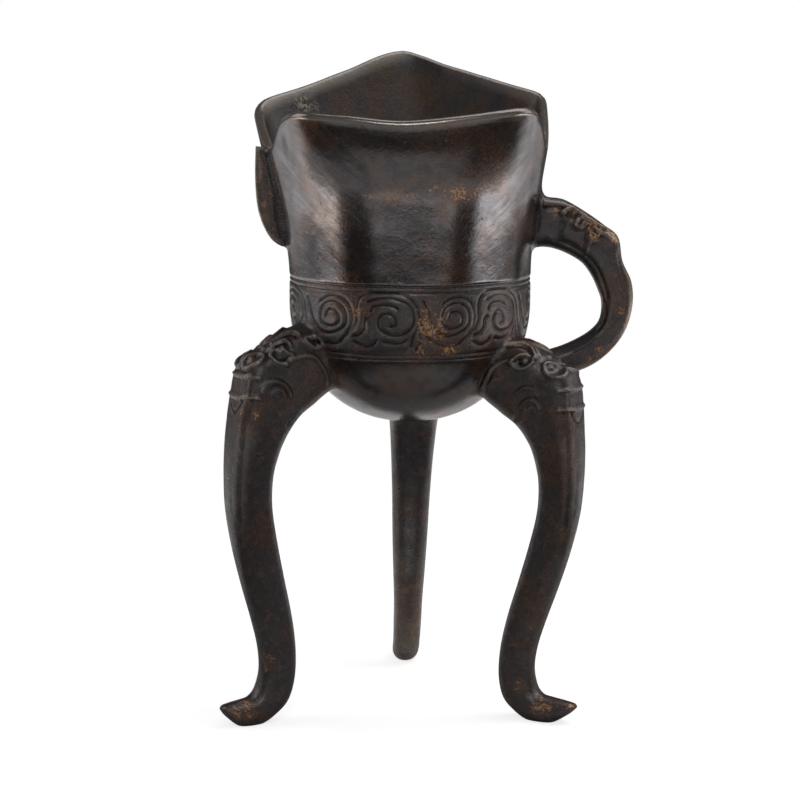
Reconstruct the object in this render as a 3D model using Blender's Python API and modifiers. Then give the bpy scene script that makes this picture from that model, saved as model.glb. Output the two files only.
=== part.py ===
"""Bronze jue wine cup, cast in one piece.

A round-bottomed bowl whose wall is drawn out to a lobed mouth (a wide lip in front, a pointed
tail behind), carried by three elephant-head legs whose trunks curl out into feet.  A trunk-shaped
loop handle stands on the right side (+X) and a plain flange on the left (-X).  The lip faces -Y.
Sizes below are in millimetres and are turned into metres by MM.  X and Y are measured from the
bowl's own axis, and AXIS_X, AXIS_Y place that axis so that the origin is under the middle of the
whole cup.
"""
import math
from collections import namedtuple

import bmesh
import bpy
from mathutils import Vector

MM = 0.001
NAME = "jue_cup"

# Bowl and wall
BOWL_R = 32.2            # outer radius of the round bowl
SPRING_Z = 110.0         # height where the round bottom becomes the upright wall
FLARE_Z = 117.0          # height where the wall starts to draw out to the mouth
WALL = 3.2               # thickness of the casting
COLUMNS = 60             # divisions round the bowl
BOWL_ROWS = 9
BOWL_FULLNESS = 0.91     # below 1, the round bottom is a little fuller than a half ball
WALL_ROWS = 15
MERGE = 0.05             # points closer than this are one

# Mouth: sides of the plan as (direction in degrees, distance from the axis, radius of the side's
# own bulge, radius of the corner that follows it)
MOUTH_SIDES = (
    (-94, 37.9, 140.0, 9.0), (-8.2, 38.2, 300.0, 6.0), (62, 48.9, 400.0, 8.0),
    (117, 47.3, 400.0, 10.0), (192, 36.2, 300.0, 10.0),
)
MOUTH_SHIFT = -1.8       # the mouth sits a little to the left of the bowl
# Height of the rim by direction in degrees
RIM_HEIGHTS = (
    (-150, 158.6), (-137, 160.7), (-116, 160.5), (-91, 159.3), (-66, 160.8), (-56, 161.6),
    (-46, 161.8), (-35, 160.6), (-25, 157.4), (-13, 153.0), (0, 151.5), (20, 156.9), (38, 163.0),
    (54, 166.7), (73, 171.0), (90, 174.9), (108, 169.9), (124, 165.6), (142, 161.4),
    (160, 155.6), (180, 151.8), (197, 152.8),
)

# How far the middle of the front has come out, at even steps from the flare's foot to the rim
FRONT_FLARE = (0.0, 0.04, 0.10, 0.22, 0.52, 1.0)
MIDDLE_SPAN = (10, 34)   # degrees off the front where this flare ends and the corners' holds
CORNER_SPAN = (56, 76)   # degrees off the front where the corners' flare ends and the sides' holds

# Scroll band: a rib round each edge, half sunk in the wall: (radius of its middle, height)
BAND_RIBS = ((32.2, 115.6), (30.6, 99.5))
RIB_THICKNESS = 1.2
RIB_PROUD = 0.35
RIB_SUNK = 1.2

# Legs.  The three were modelled by hand and differ a little: azimuth in degrees, outward splay
# below SPLAY_Z, height factor, sideways lean towards the top, stoutness at the knee and at the
# foot, extra length of the toe
Leg = namedtuple("Leg", "azimuth splay lift lean knee foot toe")
LEGS = {
    "left": Leg(azimuth=-152.5, splay=0.050, lift=1.016, lean=0.0, knee=1.13, foot=1.12, toe=0.4),
    "right": Leg(azimuth=-31.6, splay=-0.043, lift=0.98, lean=0.0, knee=1.01, foot=1.12, toe=2.4),
    "rear": Leg(azimuth=90.0, splay=0.0, lift=1.0, lean=-0.036, knee=1.13, foot=1.03, toe=1.0),
}
SPLAY_Z = 95.0
TOE_OUT = 44.0           # the toe begins this far out
TOE_Z = 8.0              # and lies below this height
KNEE_Z = 78.0            # height of the knee, where the trunk begins
HEAD_Z = 98.0            # above this height the heads are alike
LEG_SIDES = 16
ROOT_SHARES = (0.1, 0.6, 1.0)    # rings of the leg's root, which lies inside the wall
LEG_SQUARENESS = 3.2
# Stations down a leg: back edge (out, up), belly edge (out, up), half width
LEG_STATIONS = (
    (30.0, 104.2, 22.4, 89.1, 6.9),
    (33.8, 103.4, 25.6, 86.6, 7.1),
    (37.9, 102.1, 28.2, 84.9, 7.1),
    (41.8, 99.7, 30.4, 83.4, 7.0),
    (44.6, 97.3, 32.2, 82.4, 6.9),
    (48.3, 95.9, 34.1, 81.2, 6.9),
    (50.0, 91.6, 36.0, 79.6, 6.9),
    (50.6, 87.0, 37.6, 77.7, 6.8),
    (51.3, 81.0, 39.2, 75.2, 6.6),
    (51.9, 74.5, 40.7, 71.3, 6.4),
    (52.1, 66.5, 41.8, 65.8, 5.9),
    (51.6, 57.5, 41.6, 58.0, 5.4),
    (49.6, 47.5, 39.6, 48.5, 5.0),
    (46.6, 37.0, 36.9, 38.2, 4.7),
    (43.5, 27.5, 34.2, 28.5, 4.3),
    (41.4, 20.0, 32.5, 19.8, 3.9),
    (40.8, 13.8, 32.2, 11.6, 3.8),
    (42.0, 9.0, 33.7, 5.6, 3.7),
    (43.9, 6.8, 37.0, 2.2, 3.7),
    (46.3, 6.2, 41.4, -0.3, 3.6),
    (48.9, 5.9, 46.6, -0.3, 3.2),
    (51.2, 5.6, 50.2, 2.4, 2.4),
    (52.0, 5.1, 51.8, 4.2, 1.2),
)

# Handle stations: outer edge (out, up), inner edge (out, up), half width
HANDLE_SIDES = 14
HANDLE_SQUARENESS = 3.4
HANDLE_STATIONS = (
    (33.1, 141.2, 31.2, 124.7, 4.3),
    (35.5, 138.0, 34.2, 124.5, 4.3),
    (41.0, 137.0, 38.0, 124.1, 4.3),
    (46.9, 133.7, 42.4, 122.4, 4.4),
    (52.0, 130.1, 46.2, 119.9, 4.4),
    (55.6, 127.0, 48.8, 116.3, 4.1),
    (56.8, 120.7, 50.4, 112.8, 3.9),
    (59.3, 115.0, 51.4, 109.8, 3.8),
    (59.7, 109.0, 51.4, 106.4, 3.8),
    (58.2, 102.8, 50.4, 103.6, 3.8),
    (55.0, 97.6, 47.6, 101.0, 3.8),
    (50.0, 93.2, 43.4, 98.7, 3.8),
    (44.0, 90.6, 39.0, 97.0, 3.8),
    (36.0, 89.4, 33.6, 95.8, 3.8),
    (30.0, 90.0, 30.4, 96.2, 3.9),
    (25.2, 91.4, 27.9, 97.0, 4.1),
)

# Flange on the left side: outer edge (out, up) from the top down; its root lies in the wall
FLANGE_THICKNESS = 4.4
FLANGE_EDGE = (
    (40.9, 151.2), (41.1, 144.0), (40.8, 137.5), (40.0, 133.0), (38.4, 129.0), (36.4, 126.2),
    (33.4, 124.2),
)
FLANGE_ROOT_SHARES = (0.36, 0.5, 0.62, 0.74, 0.86, 0.965)

# The bowl's axis stands here, so that the origin is under the middle of the whole cup
AXIS_X = -4.33
AXIS_Y = -7.45

GROUND_SIZE = 300.0      # side of the block that cuts the soles level
EYE_SEGMENTS = 10
EYE_RINGS = 6

# Eye bosses stand half out of both cheeks of each head: (out, up, sideways, radius)
LEG_EYE = (38.4, 94.6, 6.1, 2.7)
HANDLE_EYE = (46.2, 129.6, 3.6, 2.2)

BRONZE = {"color": (0.035, 0.028, 0.024, 1.0), "roughness": 0.42, "metallic": 0.6}


def rim_height(direction):
    """Height of the rim in a direction (degrees), smooth all the way round."""
    first = RIM_HEIGHTS[0][0]
    direction = first + (direction - first) % 360
    ring = [(a - 360, z) for a, z in RIM_HEIGHTS[-2:]] + list(RIM_HEIGHTS)
    ring += [(a + 360, z) for a, z in RIM_HEIGHTS[:2]]
    for i in range(1, len(ring) - 2):
        if ring[i][0] <= direction <= ring[i + 1][0]:
            (a0, z0), (a1, z1), (a2, z2), (a3, z3) = ring[i - 1:i + 3]
            span = a2 - a1
            u = (direction - a1) / span
            slope_in = (z2 - z0) / (a2 - a0) * span
            slope_out = (z3 - z1) / (a3 - a1) * span
            return (
                z1 * (2 * u**3 - 3 * u**2 + 1)
                + slope_in * (u**3 - 2 * u**2 + u)
                + z2 * (3 * u**2 - 2 * u**3)
                + slope_out * (u**3 - u**2)
            )
    raise ValueError("direction outside the ring of rim heights")


def polar(distance, direction, z=0.0):
    """Point at a distance from the axis in a direction (degrees)."""
    angle = math.radians(direction)
    return Vector((distance * math.cos(angle), distance * math.sin(angle), z))


def facing(step):
    """Direction of a step in plan, in degrees."""
    return math.degrees(math.atan2(step.y, step.x))


def mouth_corner(side, following):
    """Middle of the arc that rounds the corner between two sides of the mouth."""
    (a, near, near_radius, corner), (b, far, far_radius, _) = side, following
    first = polar(near - near_radius, a)
    second = polar(far - far_radius, b)
    gap = second - first
    reach = near_radius - corner
    other = far_radius - corner
    along = (gap.length_squared + reach**2 - other**2) / (2 * gap.length)
    across = Vector((gap.y, -gap.x, 0)).normalized() * math.sqrt(reach**2 - along**2)
    middles = [first + gap.normalized() * along + across * sign for sign in (1, -1)]
    between = polar(1, (a + b + (360 if b < a else 0)) / 2)
    return max(middles, key=lambda middle: middle.dot(between))


def mouth_arcs():
    """Arcs of the mouth's plan in order round it, each (middle, radius, first and last degrees)."""
    count = len(MOUTH_SIDES)
    corners = [mouth_corner(MOUTH_SIDES[i], MOUTH_SIDES[(i + 1) % count]) for i in range(count)]
    arcs = []
    for i, (direction, distance, radius, corner) in enumerate(MOUTH_SIDES):
        middle = polar(distance - radius, direction)
        after_direction, after_distance, after_radius, _ = MOUTH_SIDES[(i + 1) % count]
        after = polar(after_distance - after_radius, after_direction)
        start = facing(corners[i - 1] - middle)
        turn = facing(corners[i] - middle)
        arcs.append((middle, radius, start, turn))
        arcs.append((corners[i], corner, turn, facing(corners[i] - after)))
    return arcs


def section_reach(direction, drawn):
    """Distance of the wall from the axis where it is drawn out by a share towards the mouth."""
    ray = polar(1, direction)
    best = None
    for middle, radius, start, end in mouth_arcs():
        centre = middle * drawn
        size = (1 - drawn) * BOWL_R + drawn * radius
        nearest = centre.dot(ray)
        reach = nearest + math.sqrt(max(0.0, nearest**2 - centre.length_squared + size**2))
        span = (end - start) % 360 / 2
        half = (start + end) / 2 if end > start else (start + end) / 2 + 180
        past = abs((facing(ray * reach - centre) - half + 180) % 360 - 180) - span
        if best is None or past < best[0]:
            best = (past, reach)
    return best[1]


def front_flare(s):
    """Share of the way out to the lip at share s of the way up, on a smooth curve."""
    place = s * (len(FRONT_FLARE) - 1)
    i = min(int(place), len(FRONT_FLARE) - 2)
    u = place - i
    before = FRONT_FLARE[max(i - 1, 0)]
    low, high = FRONT_FLARE[i:i + 2]
    after = FRONT_FLARE[min(i + 2, len(FRONT_FLARE) - 1)]
    return (
        low * (2 * u**3 - 3 * u**2 + 1)
        + (high - before) / 2 * (u**3 - 2 * u**2 + u)
        + high * (3 * u**2 - 2 * u**3)
        + (after - low) / 2 * (u**3 - u**2)
    )


def eased(share):
    """Share from 0 to 1 that starts and ends gently."""
    share = min(1.0, max(0.0, share))
    return share**2 * (3 - 2 * share)


def flare(s, direction):
    """Share of the way out to the mouth at share s of the way up the flaring wall."""
    away = abs(direction + 90)
    side = 0.6 * s**2 + 0.4 * eased(s)
    corner = 0.15 * s + 0.85 * s**3.3
    near, far = MIDDLE_SPAN
    front = corner + (front_flare(s) - corner) * eased((far - away) / (far - near))
    near, far = CORNER_SPAN
    return side + (front - side) * eased((far - away) / (far - near))


def wall_point(direction, share):
    """Outer surface of the wall: share 0 at the spring of the bowl, 1 at the rim."""
    top = rim_height(direction)
    z = SPRING_Z + (top - SPRING_Z) * share
    drawn = flare(max(0.0, (z - FLARE_Z) / (top - FLARE_Z)), direction)
    return polar(section_reach(direction, drawn), direction, z) + Vector((MOUTH_SHIFT * drawn, 0, 0))


def new_object(name, mesh, collection):
    """Link a mesh as an object of its own."""
    piece = bpy.data.objects.new(name, mesh)
    collection.objects.link(piece)
    return piece


def applied(piece, name):
    """Mesh of a piece with its modifiers applied; the piece itself is removed."""
    graph = bpy.context.evaluated_depsgraph_get()
    mesh = bpy.data.meshes.new_from_object(piece.evaluated_get(graph))
    mesh.name = name
    bpy.data.objects.remove(piece)
    return mesh


def bowl_profile():
    """Profile of the bowl and wall from the rim down to the pole, as (radius, height)."""
    points = []
    for row in range(WALL_ROWS, 0, -1):
        points.append((BOWL_R, SPRING_Z + row))
    for row in range(BOWL_ROWS, -1, -1):
        angle = math.pi / 2 * row / BOWL_ROWS
        radius = BOWL_R * math.sin(angle) ** BOWL_FULLNESS
        height = SPRING_Z - BOWL_R * math.cos(angle)
        points.append((radius, height))
    return points


def make_bowl(collection):
    """Turned bowl, its wall drawn out to the lobed mouth, then given its thickness."""
    mesh = bpy.data.meshes.new("bowl_profile")
    work = bmesh.new()
    verts = [work.verts.new((r * MM, 0, z * MM)) for r, z in bowl_profile()]
    for upper, lower in zip(verts, verts[1:]):
        work.edges.new((upper, lower))
    work.to_mesh(mesh)
    work.free()
    bowl = new_object("bowl_turned", mesh, collection)
    screw = bowl.modifiers.new("turn", "SCREW")
    screw.steps = COLUMNS
    screw.render_steps = COLUMNS
    screw.use_merge_vertices = True
    screw.merge_threshold = MERGE * MM
    mesh = applied(bowl, "bowl_shell")
    for vert in mesh.vertices:
        rows_up = (vert.co.z / MM - SPRING_Z)
        direction = math.degrees(math.atan2(vert.co.y, vert.co.x))
        if rows_up > 0.5:
            vert.co = wall_point(direction, round(rows_up) / WALL_ROWS) * MM
    bowl = new_object("bowl", mesh, collection)
    solid = bowl.modifiers.new("wall", "SOLIDIFY")
    solid.thickness = WALL * MM
    solid.offset = -1
    solid.use_even_offset = True
    solid.thickness_clamp = 0
    return new_object("bowl", applied(bowl, "bowl_solid"), collection)


def ring(outer, inner, half_width, sides, squareness):
    """Rounded-square ring of points between an outer and an inner edge, in its own plane."""
    centre = (outer + inner) / 2
    reach = (outer - inner) / 2
    points = []
    for i in range(sides):
        angle = 2 * math.pi * (i + 0.5) / sides
        c = math.cos(angle)
        s = math.sin(angle)
        size = (abs(c) ** squareness + abs(s) ** squareness) ** (-1 / squareness)
        points.append(centre + reach * (c * size) + Vector((0, s * size * half_width, 0)))
    return points


def loft(name, rings, collection):
    """Closed solid through a row of rings, with a point in the middle of each end."""
    work = bmesh.new()
    rows = [[work.verts.new(p * MM) for p in points] for points in rings]
    count = len(rows[0])
    for lower, upper in zip(rows, rows[1:]):
        for i in range(count):
            j = (i + 1) % count
            work.faces.new((lower[i], lower[j], upper[j], upper[i]))
    for end in (rows[0], rows[-1]):
        middle = sum((v.co for v in end), Vector()) / count
        pole = work.verts.new(middle)
        for i in range(count):
            work.faces.new((end[i], end[(i + 1) % count], pole))
    bmesh.ops.recalc_face_normals(work, faces=work.faces)
    mesh = bpy.data.meshes.new(name)
    work.to_mesh(mesh)
    work.free()
    return new_object(name, mesh, collection)


def turned_about_axis(point, azimuth):
    """A point drawn in the XZ plane, turned about the bowl's axis."""
    c = math.cos(math.radians(azimuth))
    s = math.sin(math.radians(azimuth))
    return Vector((point.x * c - point.y * s, point.x * s + point.y * c, point.z))


def sunk_in_bowl(point):
    """A point brought to the middle of the bowl's thickness, along the line to its centre."""
    centre = Vector((0, 0, SPRING_Z))
    return centre + (point - centre).normalized() * (BOWL_R - WALL / 2)


def stoutness(leg, z):
    """How much stouter than the pattern a leg is at a height."""
    if z > KNEE_Z:
        return 1 + (leg.knee - 1) * max(0.0, (HEAD_Z - z) / (HEAD_Z - KNEE_Z))
    return leg.foot + (leg.knee - leg.foot) * max(0.0, z) / KNEE_Z


def make_leg(side, collection):
    """One leg: elephant head at the bowl, trunk down to the curled foot."""
    leg = LEGS[side]
    rings = []
    for out_a, up_a, out_b, up_b, half in LEG_STATIONS:
        longer = 0.0
        if up_a < TOE_Z:
            longer = leg.toe * max(0.0, (out_a - TOE_OUT) / (LEG_STATIONS[-1][0] - TOE_OUT))
        sideways = leg.lean * (up_a + up_b) / 2
        outer = Vector((out_a + leg.splay * (SPLAY_Z - up_a) + longer, sideways, up_a * leg.lift))
        inner = Vector((out_b + leg.splay * (SPLAY_Z - up_b) + longer, sideways, up_b * leg.lift))
        middle = (outer + inner) / 2
        stout = stoutness(leg, middle.z)
        outer = middle + (outer - middle) * stout
        inner = middle + (inner - middle) * stout
        points = ring(outer, inner, half * stout, LEG_SIDES, LEG_SQUARENESS)
        rings.append([turned_about_axis(p, leg.azimuth) for p in points])
    root = rings.pop(0)
    middle = sum(root, Vector()) / len(root)
    caps = [[sunk_in_bowl(middle.lerp(p, share)) for p in root] for share in ROOT_SHARES]
    return loft("leg_" + side, caps + rings, collection)


def make_handle(collection):
    """Loop handle on the right: an elephant head at the top and its trunk round to the bowl."""
    rings = []
    for out_a, up_a, out_b, up_b, half in HANDLE_STATIONS:
        outer = Vector((out_a, 0, up_a))
        inner = Vector((out_b, 0, up_b))
        rings.append(ring(outer, inner, half, HANDLE_SIDES, HANDLE_SQUARENESS))
    return loft("handle", rings, collection)


def make_flange(collection):
    """Plain upright flange on the left, an outline with thickness."""
    work = bmesh.new()
    outline = [(-x, z) for x, z in FLANGE_EDGE]
    for share in FLANGE_ROOT_SHARES:
        wall = wall_point(180, share)
        outline.append((wall.x + WALL / 2, wall.z))
    verts = [work.verts.new((x * MM, -FLANGE_THICKNESS / 2 * MM, z * MM)) for x, z in outline]
    face = work.faces.new(verts)
    grown = bmesh.ops.extrude_face_region(work, geom=[face])
    moved = [item for item in grown["geom"] if isinstance(item, bmesh.types.BMVert)]
    bmesh.ops.translate(work, verts=moved, vec=(0, FLANGE_THICKNESS * MM, 0))
    bmesh.ops.recalc_face_normals(work, faces=work.faces)
    mesh = bpy.data.meshes.new("flange")
    work.to_mesh(mesh)
    work.free()
    return new_object("flange", mesh, collection)


def make_rib(radius, height, collection):
    """Thin rib round the bowl at one edge of the scroll band."""
    half = RIB_THICKNESS / 2
    outside = radius + RIB_PROUD
    inside = radius - RIB_SUNK
    outline = ((inside, half), (outside, half), (outside, -half), (inside, -half))
    mesh = bpy.data.meshes.new("rib_profile")
    work = bmesh.new()
    verts = [work.verts.new((r * MM, 0, (height + z) * MM)) for r, z in outline]
    for here, there in zip(verts, verts[1:] + verts[:1]):
        work.edges.new((here, there))
    work.to_mesh(mesh)
    work.free()
    rib = new_object("rib_turned", mesh, collection)
    screw = rib.modifiers.new("turn", "SCREW")
    screw.steps = COLUMNS
    screw.render_steps = COLUMNS
    screw.use_merge_vertices = True
    screw.merge_threshold = MERGE * MM
    return new_object("band_rib", applied(rib, "band_rib"), collection)


def make_boss(name, place, radius, collection):
    """Low round boss for an eye."""
    work = bmesh.new()
    bmesh.ops.create_uvsphere(work, u_segments=EYE_SEGMENTS, v_segments=EYE_RINGS,
                              radius=radius * MM)
    bmesh.ops.translate(work, verts=work.verts, vec=place * MM)
    mesh = bpy.data.meshes.new(name)
    work.to_mesh(mesh)
    work.free()
    return new_object(name, mesh, collection)


def make_eyes(collection):
    """Eye bosses on both cheeks of the three leg heads and of the handle's head."""
    bosses = []
    for side, leg in LEGS.items():
        out, up, sideways, radius = LEG_EYE
        for cheek in (-1, 1):
            place = Vector((out, cheek * sideways + leg.lean * up, up * leg.lift))
            place = turned_about_axis(place, leg.azimuth)
            bosses.append(make_boss("eye_" + side, place, radius, collection))
    out, up, sideways, radius = HANDLE_EYE
    for cheek in (-1, 1):
        place = Vector((out, cheek * sideways, up))
        bosses.append(make_boss("eye_handle", place, radius, collection))
    return bosses


def join_solids(target, tools):
    """Union of the target with each tool, one after another."""
    for tool in tools:
        tool.hide_render = True
        tool.display_type = "WIRE"
        union = target.modifiers.new("join_" + tool.name, "BOOLEAN")
        union.operation = "UNION"
        union.solver = "EXACT"
        union.object = tool


def level_feet(target, collection):
    """Cut the soles flat at z = 0."""
    bpy.ops.mesh.primitive_cube_add(size=GROUND_SIZE * MM, location=(0, 0, -GROUND_SIZE / 2 * MM))
    block = bpy.context.object
    block.name = "ground_cutter"
    for owner in list(block.users_collection):
        owner.objects.unlink(block)
    collection.objects.link(block)
    block.hide_render = True
    block.display_type = "WIRE"
    cut = target.modifiers.new("level_feet", "BOOLEAN")
    cut.operation = "DIFFERENCE"
    cut.solver = "EXACT"
    cut.object = block


def bronze_material():
    """Dark patinated bronze."""
    material = bpy.data.materials.new("bronze")
    material.use_nodes = True
    shader = material.node_tree.nodes["Principled BSDF"]
    shader.inputs["Base Color"].default_value = BRONZE["color"]
    shader.inputs["Roughness"].default_value = BRONZE["roughness"]
    shader.inputs["Metallic"].default_value = BRONZE["metallic"]
    return material


def main():
    """Clear the scene and build the cup."""
    for old in list(bpy.data.objects):
        bpy.data.objects.remove(old)
    parts = bpy.data.collections.new("bronze_jue_wine_cup")
    cutters = bpy.data.collections.new("cutters")
    bpy.context.scene.collection.children.link(parts)
    bpy.context.scene.collection.children.link(cutters)
    cup = make_bowl(parts)
    cup.name = NAME
    tools = [make_leg(side, cutters) for side in LEGS]
    tools += [make_handle(cutters), make_flange(cutters)]
    tools += [make_rib(radius, height, cutters) for radius, height in BAND_RIBS]
    tools += make_eyes(cutters)
    join_solids(cup, tools)
    level_feet(cup, cutters)
    axis = bpy.data.objects.new("bowl_axis", None)
    axis.location = (AXIS_X * MM, AXIS_Y * MM, 0)
    parts.objects.link(axis)
    for piece in [cup] + tools:
        piece.parent = axis
    cup.data.materials.append(bronze_material())
    cup.data.shade_smooth()
    cup.data.set_sharp_from_angle(angle=math.radians(40))


main()
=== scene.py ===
"""Finished looks of a bronze jue wine cup, one casting, with its studio stage.

Lengths in the tables are in millimetres and are turned into metres by MM.  The cup is modelled about
the bowl's own axis, with the lip towards -Y, the handle towards +X and the ground at height 0, and is
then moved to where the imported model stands.
"""

import math
from collections import namedtuple
from functools import lru_cache
from types import SimpleNamespace

import bmesh
import bpy
import numpy as np
from bpy.props import FloatProperty, FloatVectorProperty, IntProperty, PointerProperty
from mathutils import Matrix, Vector, kdtree, noise
from mathutils.bvhtree import BVHTree


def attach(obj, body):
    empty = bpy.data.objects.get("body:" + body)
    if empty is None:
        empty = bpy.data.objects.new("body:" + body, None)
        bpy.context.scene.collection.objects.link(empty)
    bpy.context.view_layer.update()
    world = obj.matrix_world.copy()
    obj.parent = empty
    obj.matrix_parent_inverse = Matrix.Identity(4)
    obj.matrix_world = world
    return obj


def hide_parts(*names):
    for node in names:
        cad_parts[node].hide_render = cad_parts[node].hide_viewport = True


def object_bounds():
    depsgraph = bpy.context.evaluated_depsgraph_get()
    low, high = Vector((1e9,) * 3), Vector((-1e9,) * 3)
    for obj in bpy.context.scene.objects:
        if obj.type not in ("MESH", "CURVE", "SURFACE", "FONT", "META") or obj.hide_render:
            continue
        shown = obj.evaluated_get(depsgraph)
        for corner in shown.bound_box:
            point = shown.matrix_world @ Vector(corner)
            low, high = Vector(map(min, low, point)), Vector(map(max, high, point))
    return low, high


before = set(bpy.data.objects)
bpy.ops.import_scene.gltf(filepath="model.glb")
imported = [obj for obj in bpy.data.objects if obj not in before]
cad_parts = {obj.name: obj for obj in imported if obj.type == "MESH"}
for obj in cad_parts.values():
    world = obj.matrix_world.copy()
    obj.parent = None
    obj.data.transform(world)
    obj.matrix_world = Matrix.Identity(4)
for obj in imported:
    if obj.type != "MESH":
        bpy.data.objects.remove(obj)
CAD_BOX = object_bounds()

bl_info = {
    "name": "Bronze Jue Wine Cup",
    "version": (1, 0, 0),
    "blender": (4, 5, 0),
    "location": "View3D > Sidebar > Wine Cup",
    "description": "Models and finishes a cast bronze jue wine cup and sets its studio stage",
    "category": "Add Mesh",
}

MM = 0.001
NODE = "jue_cup"
BODY = "root"

# Mouth in plan, side by side: direction in degrees, distance from the axis, radius of the side's own
# bulge, radius of the corner that follows
MOUTH_SIDES = (
    (-94, 37.9, 140.0, 9.0), (-8.2, 38.2, 300.0, 6.0), (62, 48.9, 400.0, 8.0),
    (117, 47.3, 400.0, 10.0), (192, 36.2, 300.0, 10.0),
)
MOUTH_SHIFT = -1.8       # the mouth sits a little to the left of the bowl
# How far the middle of the front has come out, at even steps from the flare's foot to the rim
FRONT_FLARE = ((0.0,), (0.04,), (0.10,), (0.22,), (0.52,), (1.0,))
MIDDLE_SPAN = (10, 34)   # degrees off the front where this flare ends and the corners' holds
CORNER_SPAN = (56, 76)   # degrees off the front where the corners' flare ends and the sides' holds
# Height of the rim by direction in degrees
RIM_HEIGHTS = (
    (-150, 158.6), (-137, 160.7), (-116, 160.5), (-91, 159.3), (-66, 160.8), (-56, 161.6),
    (-46, 161.8), (-35, 160.6), (-25, 157.4), (-13, 153.0), (0, 151.5), (20, 156.9), (38, 163.0),
    (54, 166.7), (73, 171.0), (90, 174.9), (108, 169.9), (124, 165.6), (142, 161.4),
    (160, 155.6), (180, 151.8), (197, 152.8),
)

# Rows of the cup's skin, from the pole under the bowl over the rim to the pole inside it
COLUMNS = 132
SEAM_DIRECTION = 135.0
BOWL_ROWS = 36
DRUM_ROWS = 5
WALL_ROWS = 30
RIM_ROWS = 6
INNER_WALL_ROWS = 18
INNER_BOWL_ROWS = 16
OUTER_ROWS = BOWL_ROWS + DRUM_ROWS + WALL_ROWS
SKIN_ROWS = OUTER_ROWS + RIM_ROWS + INNER_WALL_ROWS + INNER_BOWL_ROWS
BAND_ROWS = (26, BOWL_ROWS + DRUM_ROWS + 1)  # rows that carry the scroll band
LEG_ROWS = (16, 26)                          # rows that the leg heads grow from

# Scroll band.  A pair of volutes, one hanging and one standing, repeats round the bowl; the
# hanging ones sit at these directions.  Stroke points are (along, up) from the hanging volute.
BAND_MIDDLE = 108.0
PAIR_LENGTH = 33.7
HANGING_VOLUTES = (-163.0, -98.3, -42.5, 17.4, 77.3, 137.2, 197.0)
SCROLL_STROKES = (
    ((-13.8, -4.5), (-11.3, -2.3), (-9.8, 0.2), (-9.8, 2.9), (-9.2, 5.7), (-7.0, 7.2), (-1.6, 7.4),
     (2.7, 6.8), (5.4, 4.8), (6.3, 2.5), (6.9, 0.1), (8.2, -3.1), (10.7, -5.2), (15.0, -6.5),
     (18.1, -6.1), (19.9, -4.5)),
    ((-6.9, 5.2), (-4.0, 6.1), (-1.2, 6.2), (1.9, 5.4), (4.2, 4.1), (5.0, 1.7), (4.6, -0.9),
     (2.5, -2.9), (-0.5, -3.5), (-2.9, -2.8), (-4.2, -1.2), (-4.2, 0.8), (-2.9, 2.1), (-1.2, 2.0),
     (-0.1, 0.9), (-0.1, -0.7), (-1.2, -1.1)),
    ((-6.2, 2.8), (-5.3, 4.1), (-2.0, 4.4), (0.5, 3.6)),
    ((7.7, 5.4), (8.9, 3.2), (10.4, -0.8), (12.4, -3.2), (14.8, -3.8), (17.7, -3.1), (20.2, -1.6),
     (21.1, 0.7), (20.2, 3.5), (17.4, 4.8), (14.6, 4.1), (13.1, 2.3), (13.0, -0.1), (14.6, -1.6),
     (16.8, -1.7), (18.6, -0.7), (18.9, 1.2), (17.5, 2.5), (15.5, 2.3), (14.9, 1.0)),
    ((13.0, 4.6), (15.5, 6.0), (18.4, 6.3), (21.2, 5.0), (22.6, 2.4), (22.4, -1.0), (21.0, -3.2)),
    ((-6.5, 1.1), (-7.7, 0.3), (-7.8, -1.7), (-9.2, -3.4), (-11.0, -3.9)),
    ((-10.7, -5.5), (-9.4, -6.3), (-7.3, -6.6), (-5.5, -5.7), (-5.0, -4.9)),
    ((6.2, -1.3), (5.0, -3.5), (4.2, -6.3)),
    ((6.3, -2.0), (7.0, -4.7), (5.5, -7.4)),
    ((-3.0, -5.2), (0.0, -5.6), (2.6, -4.9)),
)
# Incised lines along the band's edges: height, and how far they wander up and down
BORDER_LINES = ((116.9, 0.35), (115.7, 0.35), (99.3, 0.4), (98.1, 0.35))
BORDER_DEPTH = 0.34
BORDER_WIDTH = 0.42

# Legs.  The three were modelled by hand and differ a little: azimuth in degrees, outward splay
# below SPLAY_Z, height factor, sideways lean towards the top, stoutness at the knee and at the
# foot, extra length of the toe, and the mesh's divisions round the leg and between two stations
Leg = namedtuple("Leg", "azimuth splay lift lean knee foot toe sides steps")
LEGS = {
    "left": Leg(-152.5, 0.0500, 1.016, 0.0, 1.13, 1.12, 0.4, 64, 6),
    "right": Leg(-31.6, -0.0430, 0.98, 0.0, 1.01, 1.12, 2.4, 64, 6),
    "rear": Leg(90.0, 0.0, 1.0, -0.036, 1.13, 1.03, 1.0, 48, 4),
}
SPLAY_Z = 95.0
TOE_OUT = 44.0
TOE_Z = 8.0
KNEE_Z = 78.0            # height of the knee, where the trunk begins
HEAD_Z = 98.0            # above this height the heads are alike
HEAD_STATIONS = (1, 8)           # stations with the carved head, which get the finer mesh
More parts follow.
